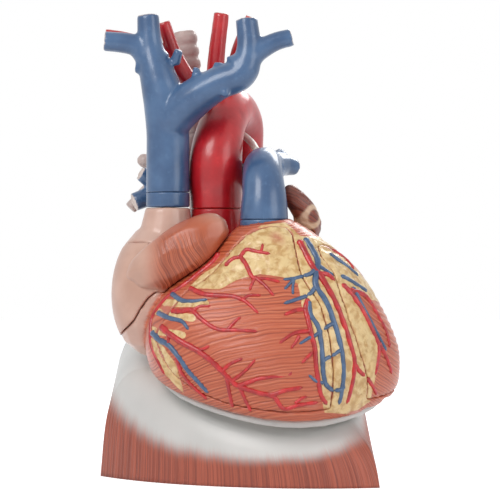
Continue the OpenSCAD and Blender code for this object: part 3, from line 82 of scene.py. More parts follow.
HEART_R, HEART_Z, SEAT_DEPTH = 92.0, 106.0, 21.0
PITCH, ROLL = math.radians(21), math.radians(5.5)
HEART_C = np.array([35, -25, HEART_Z])
SEAT_N = np.array([math.sin(ROLL) * math.cos(PITCH), -math.sin(PITCH), math.cos(ROLL) * math.cos(PITCH)])
LOBES = np.array([[-18, 76, 29, 24], [-66, 14, 24, 36], [82, -8, 20, 30], [60, 50, 15, 34],
                  [20, -24, 12, 38], [180, 40, -14, 50], [142, -10, -30, 40]], float)
LOBE_DIRS = direction(LOBES[:, 0], LOBES[:, 1])
RATES = 1 / (1 - np.cos(np.radians(LOBES[:, 3])))
RA_C, RA_AXES = np.array([-65, -8, HEART_Z + 52]), np.array([40, 46, 62])
LA_C, LA_AXES = np.array([20, 36, HEART_Z + 88]), np.array([44, 38, 40])


def seat_min(a, b):
    return (a ** -6.0 + b ** -6.0) ** (-1 / 6)


def seat_reach(d, depth):
    return depth / np.maximum(-(d @ SEAT_N), 0.001)


def ventricle_r(d):
    r = HEART_R + np.exp(RATES * (d @ LOBE_DIRS.T - 1)) @ LOBES[:, 2]
    return seat_min(r, seat_reach(d, SEAT_DEPTH))


def right_atrium_r(d):
    r = 1 / np.linalg.norm(d / RA_AXES, axis=-1)
    return seat_min(r, seat_reach(d, SEAT_DEPTH + (RA_C - HEART_C) @ SEAT_N))


def left_atrium_r(d):
    return 1 / np.linalg.norm(d / LA_AXES, axis=-1)


EYE, LENS, MID = np.array([15.0, -1811.0, 196.0]), 2083.0, 250.0


def on_wall(p):
    """Directions from the heart's middle of points of the front view's grid."""
    p = np.atleast_2d(np.asarray(p, float))
    ray = np.stack([(p[:, 0] - MID) / LENS, np.ones(len(p)), (MID - p[:, 1]) / LENS], 1)
    near = np.full(len(p), HEART_C[1] - 130)
    far = np.full(len(p), HEART_C[1])
    for _ in range(18):
        mid = (near + far) / 2
        v = EYE + ray * (mid - EYE[1])[:, None] - HEART_C
        inside = np.linalg.norm(v, axis=1) < ventricle_r(unit(v))
        far = np.where(inside, mid, far)
        near = np.where(inside, near, mid)
    v = EYE + ray * ((near + far) / 2 - EYE[1])[:, None] - HEART_C
    return unit(v)


def grid_of(q):
    """Where points in millimetres lie on the front view's grid."""
    s = LENS / (q[:, 1] - EYE[1])
    return np.stack([MID + (q[:, 0] - EYE[0]) * s, MID - (q[:, 2] - EYE[2]) * s], 1)


def near_lines(p, lines):
    """Distance of grid points from the nearest of several broken lines."""
    best = np.full(len(p), 1e9)
    for line in lines:
        line = np.asarray(line, float)
        for a, b in zip(line[:-1], line[1:]):
            v = b - a
            f = np.clip(((p - a) @ v) / (v @ v), 0, 1)
            best = np.minimum(best, np.linalg.norm(p - a - f[:, None] * v, axis=1))
    return best


def in_area(p, outline):
    o = np.asarray(outline, float)
    inside = np.zeros(len(p), bool)
    for a, b in zip(o, np.roll(o, -1, 0)):
        cross = (a[1] > p[:, 1]) != (b[1] > p[:, 1])
        with np.errstate(divide="ignore", invalid="ignore"):
            x = (b[0] - a[0]) * (p[:, 1] - a[1]) / (b[1] - a[1]) + a[0]
        inside ^= cross & (p[:, 0] < x)
    return inside


# ---- Meshes ----
def new_object(name, verts, faces, body, material):
    me = bpy.data.meshes.new(name)
    me.from_pydata([tuple(v) for v in np.asarray(verts) * MM], [], [tuple(int(i) for i in f) for f in faces])
    me.validate()
    o = bpy.data.objects.new(name, me)
    bpy.context.scene.collection.objects.link(o)
    finish_object(o, body, material)
    return o


def finish_object(o, body, material):
    o.data.polygons.foreach_set("use_smooth", [True] * len(o.data.polygons))
    o.data.materials.clear()
    o.data.materials.append(material)
    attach(o, body)


def coords(me):
    a = np.empty(len(me.vertices) * 3)
    me.vertices.foreach_get("co", a)
    return a.reshape(-1, 3) / MM


def set_coords(me, v):
    me.vertices.foreach_set("co", (np.asarray(v) * MM).ravel())
    me.update()


def normals(me):
    a = np.empty(len(me.vertices) * 3, np.float32)
    me.vertices.foreach_get("normal", a)
    return a.reshape(-1, 3).astype(float)


def node_copy(node, name):
    """A new mesh object with the node's own shape."""
    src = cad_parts[node]
    me = src.data.copy()
    me.name = name
    o = bpy.data.objects.new(name, me)
    bpy.context.scene.collection.objects.link(o)
    return o


def apply_modifiers(o):
    me = bpy.data.meshes.new_from_object(o.evaluated_get(bpy.context.evaluated_depsgraph_get()))
    o.modifiers.clear()
    o.data = me
    return o


def remesh(o, size, rounds=3, factor=0.5):
    m = o.modifiers.new("r", "REMESH")
    m.mode = "VOXEL"
    m.voxel_size = size * MM
    if rounds:
        s = o.modifiers.new("s", "SMOOTH")
        s.factor = factor
        s.iterations = rounds
    apply_modifiers(o)
    return o


def joined(objects, name):
    verts, faces, base = [], [], 0
    for o in objects:
        v = coords(o.data)
        verts.append(v)
        faces += [[i + base for i in p.vertices] for p in o.data.polygons]
        base += len(v)
        bpy.data.objects.remove(o)
    me = bpy.data.meshes.new(name)
    me.from_pydata([tuple(v) for v in np.vstack(verts) * MM], [], faces)
    o = bpy.data.objects.new(name, me)
    bpy.context.scene.collection.objects.link(o)
    return o


def tube_arrays(path, radii, sides):
    """Vertices and faces of a closed tube along a path, its rings carried along without twist."""
    p, r = np.asarray(path, float), np.asarray(radii, float)
    n = len(p)
    way = unit(np.gradient(p, axis=0))
    u = unit(np.cross(way[0], [0.3, 0.5, 0.8]))
    us = []
    for t in way:
        u = unit(u - (u @ t) * t)
        us.append(u)
    us = np.array(us)
    ws = np.cross(way, us)
    a = np.linspace(0, 2 * math.pi, sides, endpoint=False)
    ring = us[:, None] * np.cos(a)[None, :, None] + ws[:, None] * np.sin(a)[None, :, None]
    v = (p[:, None] + ring * r[:, None, None]).reshape(-1, 3)
    faces = []
    for i in range(n - 1):
        for j in range(sides):
            k, m = (j + 1) % sides, i + 1
            faces.append([i * sides + j, i * sides + k, m * sides + k, m * sides + j])
    faces.append([j for j in range(sides)][::-1])
    faces.append([(n - 1) * sides + j for j in range(sides)])
    return v, faces


def tube(name, points, steps=8, sides=40):
    """Closed tube through points, each a place and a radius."""
    q = cubic(points, steps)
    v, f = tube_arrays(q[:, :3], q[:, 3], sides)
    me = bpy.data.meshes.new(name)
    me.from_pydata([tuple(x) for x in v * MM], [], f)
    o = bpy.data.objects.new(name, me)
    bpy.context.scene.collection.objects.link(o)
    return o


def attribute(o, name, values):
    a = o.data.attributes.get(name) or o.data.attributes.new(name, "FLOAT", "POINT")
    a.data.foreach_set("value", np.asarray(values, np.float32))


def fbm(q, scale, seed=0.0, octaves=3):
    """Soft noise at points in millimetres, about -1 to 1."""
    off = Vector((seed * 17.3, seed * 9.1, seed * 5.7))
    return np.array([noise.fractal(Vector(p) / scale + off, 1.0, 2.0, octaves) for p in q])


# ---- Materials ----
def rgb(r, g, b):
    """A colour as it looks on a screen, 0 to 255, in linear numbers."""
    out = []
    for c in (r, g, b):
        c /= 255
        out.append(c / 12.92 if c <= 0.04045 else ((c + 0.055) / 1.055) ** 2.4)
    return (*out, 1)


class Paint:
    """A material's nodes, put together a call at a time."""

    def __init__(self, name, roughness, coat=0.0, coat_roughness=0.1, metallic=0.0):
        self.mat = bpy.data.materials.new(name)
        self.mat.use_nodes = True
        self.tree = self.mat.node_tree
        self.bsdf = self.tree.nodes["Principled BSDF"]
        self.bsdf.inputs["Roughness"].default_value = roughness
        self.bsdf.inputs["Coat Weight"].default_value = coat
        self.bsdf.inputs["Coat Roughness"].default_value = coat_roughness
        self.bsdf.inputs["Metallic"].default_value = metallic
        self.place = self.tree.nodes.new("ShaderNodeTexCoord").outputs["Object"]

    def put(self, value, socket):
        if hasattr(value, "is_output"):
            self.tree.links.new(value, socket)
        elif value is not None:
            socket.default_value = value

    def noise(self, scale, detail=3.0, roughness=0.5, at=None, distortion=0.0):
        n = self.tree.nodes.new("ShaderNodeTexNoise")
        self.put(at if at is not None else self.place, n.inputs["Vector"])
        n.inputs["Scale"].default_value = scale
        n.inputs["Detail"].default_value = detail
        n.inputs["Roughness"].default_value = roughness
        n.inputs["Distortion"].default_value = distortion
        return n.outputs["Fac"]

    def value_of(self, attribute):
        n = self.tree.nodes.new("ShaderNodeAttribute")
        n.attribute_name = attribute
        return n.outputs["Fac"]

    def math(self, kind, a, b=None, c=None):
        n = self.tree.nodes.new("ShaderNodeMath")
        n.operation = kind
        for v, s in zip((a, b, c), n.inputs):
            self.put(v, s)
        return n.outputs[0]

    def span(self, v, low, high, to_low=0.0, to_high=1.0):
        n = self.tree.nodes.new("ShaderNodeMapRange")
        n.interpolation_type = "SMOOTHSTEP"
        for x, s in zip((v, low, high, to_low, to_high), n.inputs):
            self.put(x, s)
        return n.outputs[0]

    def mix(self, f, a, b):
        n = self.tree.nodes.new("ShaderNodeMix")
        n.data_type = "RGBA"
        n.clamp_factor = True
        self.put(f, n.inputs[0])
        self.put(a, n.inputs[6])
        self.put(b, n.inputs[7])
        return n.outputs[2]

    def along(self, attribute, across, share):
        """Coordinates that change fast across the fibres and slowly along them."""
        n = self.tree.nodes.new("ShaderNodeCombineXYZ")
        self.put(self.math("MULTIPLY", self.value_of(attribute), across), n.inputs[0])
        s = self.tree.nodes.new("ShaderNodeSeparateXYZ")
        self.put(self.place, s.inputs[0])
        self.put(self.math("MULTIPLY", s.outputs[0], share), n.inputs[1])
        self.put(self.math("MULTIPLY", s.outputs[1], share), n.inputs[2])
        return n.outputs[0]

    def finish(self, colour, height=None, depth=0.0005, strength=0.5):
        self.put(colour, self.bsdf.inputs["Base Color"])
        if height is not None:
            b = self.tree.nodes.new("ShaderNodeBump")
            b.inputs["Strength"].default_value = strength
            b.inputs["Distance"].default_value = depth
            self.put(height, b.inputs["Height"])
            self.put(b.outputs[0], self.bsdf.inputs["Normal"])
        return self.mat


def muscle_paint():
    p = Paint("heart_muscle", 0.34, coat=0.18)
    streak = p.noise(1.0, 3, 0.6, p.along("band", 0.95, 8.0))
    broad = p.noise(1.0, 2, 0.5, p.along("band", 0.2, 14.0))
    phase = p.math("ADD", p.math("MULTIPLY", p.value_of("band"), 2.25), p.math("MULTIPLY", broad, 9.0))
    wave = p.math("MULTIPLY", p.math("SINE", phase), 0.13)
    fibre = p.math("ADD", p.math("ADD", p.math("MULTIPLY", streak, 0.7), 0.15), wave)
    groove = p.math("ADD", fibre, p.math("MULTIPLY", p.value_of("relief"), 0.07))
    flesh = p.mix(p.span(groove, 0.22, 0.5), rgb(152, 64, 38), rgb(196, 96, 62))
    flesh = p.mix(p.span(groove, 0.52, 0.78), flesh, rgb(214, 124, 88))
    flesh = p.mix(p.span(p.noise(9, 3), 0.48, 0.75, 0.0, 0.4), flesh, rgb(176, 82, 50))
    lumps = p.noise(150, 4, 0.55, distortion=0.4)
    fat = p.mix(p.span(lumps, 0.34, 0.6), rgb(196, 152, 92), rgb(231, 200, 143))
    fat = p.mix(p.span(p.noise(60, 2), 0.5, 0.8, 0, 0.45), fat, rgb(222, 178, 112))
    edge = p.math("ADD", p.value_of("fat"), p.math("MULTIPLY", p.math("SUBTRACT", p.noise(140, 3), 0.5), 0.5))
    colour = p.mix(p.span(edge, 0.38, 0.62), flesh, fat)
    skin = p.mix(p.span(p.noise(28, 3), 0.3, 0.7), rgb(200, 158, 140), rgb(216, 178, 160))
    colour = p.mix(p.value_of("atrial"), colour, skin)
    inside = p.mix(p.span(p.noise(120, 3), 0.3, 0.7), rgb(186, 104, 86), rgb(212, 138, 116))
    colour = p.mix(p.value_of("inner"), colour, inside)
    height = p.mix(p.span(edge, 0.38, 0.62), fibre, lumps)
    height = p.mix(p.value_of("atrial"), height, (0.5, 0.5, 0.5, 1))
    return p.finish(colour, height, 0.0012, 0.6)


def atrium_paint():
    p = Paint("atrium_wall", 0.36, coat=0.12)
    skin = p.mix(p.span(p.noise(28, 3), 0.3, 0.7), rgb(196, 152, 132), rgb(214, 172, 152))
    streak = p.noise(1.0, 3, 0.6, p.along("band", 1.1, 8.0))
    smooth = p.mix(p.span(p.noise(40, 3), 0.3, 0.7), rgb(172, 84, 52), rgb(190, 100, 66))
    lined = p.mix(p.span(streak, 0.36, 0.62), rgb(136, 60, 36), rgb(192, 102, 68))
    ear = p.mix(p.value_of("stripe"), smooth, lined)
    colour = p.mix(p.value_of("ear"), skin, ear)
    inside = p.mix(p.span(p.noise(140, 3), 0.3, 0.7), rgb(192, 116, 98), rgb(216, 148, 128))
    colour = p.mix(p.value_of("inner"), colour, inside)
    return p.finish(colour, p.math("MULTIPLY", streak, p.value_of("stripe")), 0.0008, 0.5)


def left_atrium_paint():
    p = Paint("left_atrium_wall", 0.36, coat=0.15)
    skin = p.mix(p.span(p.noise(34, 3), 0.3, 0.7), rgb(190, 140, 120), rgb(208, 160, 140))
    streak = p.noise(1.0, 3, 0.6, p.along("band", 1.3, 8.0))
    ear = p.mix(p.span(streak, 0.36, 0.62), rgb(88, 34, 20), rgb(142, 64, 40))
    colour = p.mix(p.value_of("ear"), skin, ear)
    colour = p.mix(p.value_of("ring"), colour, rgb(216, 182, 152))
    inside = p.mix(p.span(p.noise(140, 3), 0.3, 0.7), rgb(192, 116, 98), rgb(216, 148, 128))
    colour = p.mix(p.value_of("inner"), colour, inside)
    return p.finish(colour, p.math("MULTIPLY", streak, p.value_of("ear")), 0.0008, 0.5)


def vessel_paint(name, main, deep, pale, rim=(214, 196, 186), roughness=0.3, scale=40):
    p = Paint(name, roughness, coat=0.25, coat_roughness=0.15)
    colour = p.mix(p.span(p.noise(scale, 3), 0.32, 0.72), rgb(*deep), rgb(*main))
    colour = p.mix(p.span(p.noise(scale * 3.2, 4, 0.65), 0.55, 0.8, 0, 0.55), colour, rgb(*pale))
    if rim:
        colour = p.mix(p.value_of("rim"), colour, rgb(*rim))
    return p.finish(colour, p.noise(scale * 9, 4, 0.6), 0.0003, 0.25)


def base_paint():
    p = Paint("base_skin", 0.4, coat=0.12)
    skirt = p.value_of("skirt")
    ridges = p.noise(1.0, 3, 0.6, p.along("band", 1.0, 5.0))
    edge = p.math("ADD", skirt, p.math("MULTIPLY", p.math("SUBTRACT", ridges, 0.5), 0.3))
    white = p.mix(p.span(p.noise(14, 3), 0.3, 0.7), rgb(203, 202, 197), rgb(214, 212, 207))
    flesh = p.mix(p.span(ridges, 0.34, 0.62), rgb(134, 60, 42), rgb(178, 90, 66))
    flesh = p.mix(p.span(p.noise(20, 3), 0.4, 0.8, 0, 0.4), flesh, rgb(150, 70, 48))
    colour = p.mix(p.span(edge, 0.05, 1.0), white, flesh)
    height = p.math("MULTIPLY", ridges, p.span(skirt, 0.1, 0.8))
    return p.finish(colour, height, 0.0012, 0.6)


def plain_paint(name, a, b, scale, roughness, grain=500, depth=0.0002):
    p = Paint(name, roughness)
    colour = p.mix(p.span(p.noise(scale, 4), 0.3, 0.7), rgb(*a), rgb(*b))
    return p.finish(colour, p.noise(grain, 4, 0.6), depth, 0.3)


def steel_paint():
    p = Paint("turned_steel", 0.28, metallic=1.0)
    s = p.tree.nodes.new("ShaderNodeSeparateXYZ")
    p.put(p.place, s.inputs[0])
    c = p.tree.nodes.new("ShaderNodeCombineXYZ")
    p.put(p.math("MULTIPLY", s.outputs[2], 2200.0), c.inputs[2])
    p.put(p.math("MULTIPLY", s.outputs[0], 30.0), c.inputs[0])
    lines = p.noise(1.0, 2, 0.5, c.outputs[0])
    return p.finish(p.mix(lines, rgb(150, 152, 156), rgb(208, 208, 210)), lines, 0.00005, 0.3)


MUSCLE = muscle_paint()
ATRIUM = atrium_paint()
LEFT_ATRIUM = left_atrium_paint()
BLUE = vessel_paint("vein_blue", (76, 108, 146), (58, 88, 126), (92, 124, 160))
RED = vessel_paint("artery_red", (206, 30, 36), (176, 20, 28), (220, 52, 52), rim=(226, 190, 178))
SMALL_BLUE = vessel_paint("small_vein_blue", (78, 106, 140), (52, 78, 112), (104, 130, 158), None, 0.32, 160)
SMALL_RED = vessel_paint("small_artery_red", (208, 34, 38), (162, 18, 24), (226, 66, 60), None, 0.3, 160)
BASE = base_paint()
WHITE = plain_paint("base_white", (200, 199, 194), (213, 211, 206), 16, 0.42)
CARTILAGE = plain_paint("cartilage", (188, 166, 158), (214, 198, 190), 60, 0.45, 300, 0.0004)
LINING = plain_paint("lining", (196, 142, 124), (214, 166, 146), 45, 0.42, 260, 0.0004)
VALVE = plain_paint("valve_leaf", (214, 188, 160), (230, 210, 186), 120, 0.4, 400, 0.0003)
CORD = plain_paint("ligament_white", (214, 208, 196), (232, 228, 218), 90, 0.4, 300, 0.0003)
STEEL = steel_paint()


# ---- Ventricles: smooth skin on the exact form, with fibres, fat and grooves ----
FAT_AREA = [[222, 262], [231, 250], [243, 236], [262, 225], [286, 222], [300, 236], [326, 237], [345, 256],
            [358, 270], [376, 292], [386, 304], [367, 298], [355, 291], [366, 317], [378, 342], [377, 373],
            [370, 402], [352, 414], [324, 413], [321, 378], [313, 345], [309, 329], [303, 310], [298, 284],
            [284, 277], [260, 274], [236, 280], [220, 289], [188, 288], [205, 272]]
FAT_PATCH = [[150, 337], [162, 345], [176, 365], [184, 394], [166, 376], [154, 356]]
FAT_STRIPS = [[[166, 303], [205, 303]], [[158, 312], [192, 318]], [[150, 330], [182, 335]]]
VALVE_N = unit([-0.69, 0.14, 0.71])
VALVE_C = HEART_C + VALVE_N * 64


def smooth_step(x, low, high):
    f = np.clip((x - low) / (high - low), 0, 1)
    return f * f * (3 - 2 * f)


def edge_distance(p, outline):
    """Signed distance of grid points from a closed outline: positive inside."""
    o = [*outline, outline[0]]
    d = near_lines(p, [o])
    return np.where(in_area(p, outline), d, -d)


def fat_at(q, d):
    g = grid_of(q)
    front = smooth_step(-d[:, 1], -0.25, 0.05)
    f = smooth_step(edge_distance(g, FAT_AREA), -2.5, 2.5)
    f = np.maximum(f, smooth_step(edge_distance(g, FAT_PATCH), -2, 2))
    f = np.maximum(f, smooth_step(-near_lines(g, FAT_STRIPS), -5, -2.5))
    groove = np.abs((q - VALVE_C) @ VALVE_N + 4)
    back = smooth_step(-groove, -15, -8)
    return front * f + (1 - front) * back


def band_at(q):
    """Level across the fibres, in millimetres: lines of the same level run along them."""
    g = grid_of(q)
    away = np.clip(300 - g[:, 0], 0, 200)
    right = g[:, 1] + 0.06 * (g[:, 0] - 300) - smooth_step(g[:, 1], 290, 370) * 0.0016 * away ** 2
    left = g[:, 1] - 0.75 * (g[:, 0] - 330)
    w = smooth_step(g[:, 0], 312, 350)
    return 0.87 * (right * (1 - w) + left * w)


def muscle_piece(node, name, body, size):
    o = remesh(node_copy(node, name), size, 3, 0.5)
    me = o.data
    q = coords(me)
    v = q - HEART_C
    r = np.linalg.norm(v, axis=1)
    d = v / r[:, None]
    r0 = ventricle_r(d)
    n0 = normals(me)
    outward = (n0 * d).sum(1)
    near = (np.abs(r - r0) < 3.2) & (outward > 0.35)
    inner = smooth_step(r0 - r, 1.4, 2.6)
    shift = np.where(near, r0 - 0.15 - r, 0.0) * smooth_step(outward, 0.35, 0.6)
    q = q + d * shift[:, None]
    set_coords(me, q)
    s = o.modifiers.new("s", "SMOOTH")
    s.factor = 0.5
    s.iterations = 2
    apply_modifiers(o)
    me = o.data
    q = coords(me)
    n0 = normals(me)
    d = unit(q - HEART_C)
    fat = fat_at(q, d) * (1 - inner)
    band = band_at(q)
    warp = fbm(q, 30, 1, 2)
    band = band + 2 * warp
    atrial = smooth_step(np.linalg.norm(q - HEART_C, axis=1) - ventricle_r(d), 1.2, 3.0) * (1 - inner)
    fat = fat * (1 - atrial)
    lines = np.sin(2 * math.pi * band / 4.4 + 1.2 * fbm(q, 16, 2, 2))
    relief = lines * (1 - fat) * (1 - inner) * (1 - atrial)
    lumps = fbm(q, 8, 3, 3)
    seam_side = smooth_step((n0 * d).sum(1), 0.45, 0.8) * (1 - inner)
    deep = 0.3 if size < 1.5 else 0.14
    depth = (deep * (relief - 1) * (1 - fat) * (1 - atrial) + fat * 0.85 * (lumps - 0.25)) * seam_side
    q = q + n0 * np.minimum(depth, 0.25)[:, None]
    over = q[:, 0] - (BOX_HIGH[0] - 2.5)
    q[:, 0] = np.where(over > 0, BOX_HIGH[0] - 2.5 + 2.5 * np.tanh(over / 2.5), q[:, 0])
    set_coords(me, q)
    attribute(o, "fat", fat)
    attribute(o, "band", band)
    attribute(o, "inner", inner)
    attribute(o, "relief", relief)
    attribute(o, "atrial", atrial)
    finish_object(o, body, MUSCLE)
    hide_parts(node)
    return o


muscle_piece("heart_body", "heart_muscle", "heart", 1.7)
muscle_piece("right_ventricle_wall", "right_ventricle_muscle", "right_ventricle", 1.25)
muscle_piece("left_ventricle_wall", "left_ventricle_muscle", "left_ventricle", 1.25)


# ---- Atria ----
def atrium_piece(node, name, body, centre, radius, tip, tip_r, paint, ring=None, front=False):
    o = remesh(node_copy(node, name), 1.3, 14, 0.5)
    me = o.data
    q = coords(me)
    v = q - centre
    r = np.linalg.norm(v, axis=1)
    d = v / r[:, None]
    r0 = radius(d)
    inner = smooth_step(r0 - r, 1.6, 3.0)
    over = smooth_step(r - r0, 1.5, 6.0)
    ear = np.maximum(over, 0) * smooth_step(-np.linalg.norm((q - tip[0]) / tip_r, axis=1), -1.25, -0.75)
    outward = (normals(me) * d).sum(1)
    shift = np.where(np.abs(r - r0) < 2.2, (r0 - 0.2 - r) * (1 - ear), 0) * smooth_step(outward, 0.35, 0.6)
    q = q + d * shift[:, None]
    set_coords(me, q)
    s = o.modifiers.new("s", "SMOOTH")
    s.iterations = 3
    apply_modifiers(o)
    me = o.data
    q = coords(me)
    n0 = normals(me)
    axis = unit(np.asarray(tip[1], float))
    band = (q - tip[0]) @ axis + 3 * fbm(q, 20, 5, 2)
    lines = np.sin(2 * math.pi * band / 3.9 + 1.5 * fbm(q, 10, 6, 2))
    stripe = ear * (1 - inner)
    if front:
        g = grid_of(q)
        ear = ear * smooth_step(g[:, 0], 138, 166)
        stripe = stripe * smooth_step(g[:, 1], 226, 246) * smooth_step(g[:, 0], 146, 168) \
            * smooth_step(-g[:, 0], -214, -198)
    q = q + n0 * (0.22 * (lines - 1) * stripe)[:, None]
    set_coords(me, q)
    attribute(o, "ear", ear)
    attribute(o, "stripe", stripe)
    attribute(o, "band", band)
    attribute(o, "inner", inner)
    if ring is not None:
        at, way, size = ring
        w = q - at
        along = w @ unit(np.asarray(way, float))
        out = np.linalg.norm((w - along[:, None] * unit(np.asarray(way, float))) / size, axis=1)
        attribute(o, "ring", smooth_step(-np.abs(out - 1), -0.4, -0.15) * (np.abs(along) < 14))
    finish_object(o, body, paint)
    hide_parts(node)
    return o


# ---- Vessels: smooth tubes with flared roots, cut square at their seams ----
def mix(a, b, f):
    return list(np.asarray(a, float) * (1 - f) + np.asarray(b, float) * f)


def flare(a, b):
    return tube("t", [a, b], sides=32)


def clip_below(o, z):
    bm = bmesh.new()
    bm.from_mesh(o.data)
    cut = bmesh.ops.bisect_plane(bm, geom=bm.verts[:] + bm.edges[:] + bm.faces[:], plane_co=(0, 0, z * MM),
                                 plane_no=(0, 0, 1), clear_inner=True)
    edges = [e for e in cut["geom_cut"] if isinstance(e, bmesh.types.BMEdge)]
    bmesh.ops.holes_fill(bm, edges=edges, sides=0)
    bm.to_mesh(o.data)
    bm.free()


def vessel_piece(name, nodes, body, tubes, flares, seam, ends, paint, size=1.5, rounds=6):
    parts = [tube("t", t) for t in tubes] + [flare(a, b) for a, b in flares]
    o = remesh(joined(parts, name), size, rounds, 0.5)
    if seam:
        clip_below(o, seam)
    me = o.data
    q = coords(me)
    n0 = normals(me)
    rim = np.zeros(len(q))
    for line in ends:
        tip, before = np.asarray(line[-1], float), np.asarray(line[-2], float)
        way = unit(tip[:3] - before[:3])
        w = q - tip[:3]
        along = w @ way
        out = np.linalg.norm(w - along[:, None] * way, axis=1) / tip[3]
        face = (along > -1.6) & (out < 1.15)
        rim = np.maximum(rim, face * smooth_step(n0 @ way, 0.55, 0.8))
        dish = face * smooth_step(-out, -0.86, -0.5)
        q = q - way * (1.6 * dish)[:, None]
    q = q + n0 * (0.12 * fbm(q, 14, 7, 2))[:, None]
    set_coords(me, q)
    attribute(o, "rim", rim)
    finish_object(o, body, paint)
    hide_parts(*nodes)
    return o


CAVA_TRUNK = [[-56, -10, 238, 18.75], [-56, -10, 254, 18.7], [-56, -10, 274, 18.6], [-56, -11, 298, 18.6],
              [-58, -13, 322, 18.8], [-65, -14, 348, 15.5], [-71, -14, 372, 11], [-73, -14, 399, 9.5]]
LEFT_BRACHIOCEPHALIC = [[-56, -14, 300, 15], [-38, -24, 322, 17], [-14, -34, 337, 14.5], [8, -38, 347, 13.5],
                        [14, -38, 368, 10.5], [12, -36, 393, 9.3]]
RIGHT_SUBCLAVIAN = [[-62, -14, 356, 12], [-82, -14, 372, 9.5], [-111, -16, 376, 8.4]]
LEFT_SUBCLAVIAN = [[4, -38, 350, 12], [20, -38, 364, 9.5], [36, -38, 373, 8], [51, -38, 377, 7.6]]
CAVA_STUBS = [[[-70, -14, 352], [-84, -14, 353], 6], [[-50, -16, 356], [-46, -20, 368], 5],
              [[-32, -28, 336], [-31, -32, 352], 4], [[-13, -34, 345], [-12, -36, 356], 5],
              [[0, -38, 350], [-2, -40, 361], 4], [[-6, -40, 334], [-6, -48, 327], 4]]
STUB_TUBES = [[[*a, r], [*mix(a, b, 0.6), r * 0.85], [*b, r * 0.8]] for a, b, r in CAVA_STUBS]
vessel_piece("vena_cava_tube", ["superior_vena_cava"], "vena_cava",
             [CAVA_TRUNK, LEFT_BRACHIOCEPHALIC, RIGHT_SUBCLAVIAN, LEFT_SUBCLAVIAN, *STUB_TUBES],
             [([-56, -12, 306, 17.5], [-36, -25, 324, 15.5]), ([-64, -14, 352, 13], [-82, -14, 371, 8.6]),
              ([8, -38, 352, 12], [21, -38, 364, 8.6])],
             246, [CAVA_TRUNK, LEFT_BRACHIOCEPHALIC, RIGHT_SUBCLAVIAN, LEFT_SUBCLAVIAN], BLUE)

AORTA_PATH = [[-14.5, 4, 222, 22.5], [-14.5, 4, 242, 22.8], [-15, 3, 260, 23.5], [-14, 4, 282, 22.5],
              [-9, 16, 306, 20.5], [0, 40, 321, 19], [9, 66, 310, 17.5], [10.5, 77, 286, 16.5],
              [10.5, 78, 248, 16]]
BRACHIOCEPHALIC_TRUNK = [[-12, 22, 312, 11], [-26, 20, 332, 9.5], [-40, 18, 346, 8.2], [-52, 16, 370, 6.4],
                         [-61, 15, 396, 6]]
RIGHT_SUBCLAVIAN_ARTERY = [[-42, 18, 350, 7], [-62, 16, 368, 6], [-88, 12, 380, 5.4], [-112, 8, 384, 5.2]]
LEFT_CAROTID = [[-8, 34, 318, 10], [-15, 30, 340, 8], [-15, 26, 362, 7.6], [-10, 24, 405, 6.8]]
LEFT_SUBCLAVIAN_ARTERY = [[2, 50, 318, 9], [1, 46, 345, 7], [4, 42, 372, 6.2], [17, 40, 403, 5.8]]
ARCH_TUBES = [AORTA_PATH, BRACHIOCEPHALIC_TRUNK, RIGHT_SUBCLAVIAN_ARTERY, LEFT_CAROTID,
              LEFT_SUBCLAVIAN_ARTERY]
ARCH_FLARES = []
for branch in (BRACHIOCEPHALIC_TRUNK, LEFT_CAROTID, LEFT_SUBCLAVIAN_ARTERY):
    ARCH_FLARES.append((mix(branch[0], AORTA_PATH[5], 0.2), mix(branch[0], branch[1], 0.5)))
    ARCH_FLARES.append((mix(branch[0], branch[1], 0.4), mix(branch[0], branch[1], 0.8)))
vessel_piece("aortic_arch_tube", ["aorta"], "aortic_arch",
             ARCH_TUBES,
             ARCH_FLARES + [(BRACHIOCEPHALIC_TRUNK[2], RIGHT_SUBCLAVIAN_ARTERY[1])],
             232, ARCH_TUBES, RED)

PULMONARY_PATH = [[27, -46, 212, 20.5], [27, -46, 228, 20.2], [27, -45, 242, 18.8], [26, -38, 258, 17.4],
                  [27, -20, 268, 16.5], [34, 2, 266, 13]]
LEFT_PULMONARY = [[30, -12, 268, 13], [42, 4, 270, 10], [56, 12, 268, 6.8]]
LEFT_PULMONARY_UPPER = [[34, 0, 270, 9], [43, 14, 280, 6]]
RIGHT_PULMONARY = [[28, 2, 266, 13], [20, 30, 262, 12.5], [-6, 46, 260, 12], [-44, 44, 258, 11],
                   [-66, 36, 256, 9], [-82, 30, 264, 6.5]]
RIGHT_PULMONARY_LOWER = [[-56, 40, 256, 9], [-74, 34, 244, 8.6], [-88, 30, 238, 8.2]]
LUNG_FLARES = []
for branch in (RIGHT_PULMONARY, LEFT_PULMONARY, RIGHT_PULMONARY_LOWER):
    LUNG_FLARES += [(branch[0], mix(branch[0], branch[1], 0.5)), (mix(branch[0], branch[1], 0.5), branch[1])]
vessel_piece("pulmonary_artery_tube", ["pulmonary_trunk"], "pulmonary_artery",
             [PULMONARY_PATH, LEFT_PULMONARY, LEFT_PULMONARY_UPPER, RIGHT_PULMONARY, RIGHT_PULMONARY_LOWER],
             LUNG_FLARES, 222, [LEFT_PULMONARY, LEFT_PULMONARY_UPPER, RIGHT_PULMONARY, RIGHT_PULMONARY_LOWER],
             BLUE)

atrium_piece("right_atrium_wall", "right_atrium_skin", "right_atrium", RA_C, right_atrium_r,
             ([-46, -56, 192], [0.92, 0, 0.38]), np.array([56, 40, 40]), ATRIUM, front=True)
atrium_piece("left_atrium_wall", "left_atrium_skin", "left_atrium", LA_C, left_atrium_r,
             ([58, -14, 222], [0.3, 0.5, 0.8]), np.array([34, 36, 36]), LEFT_ATRIUM,
             ring=(np.array([66, -20, 224]), [0.75, -0.6, 0.2], 8.0))


# ---- Vessels on the heart's surface ----
ARTERY_R, VEIN_R = 3.0, 2.8


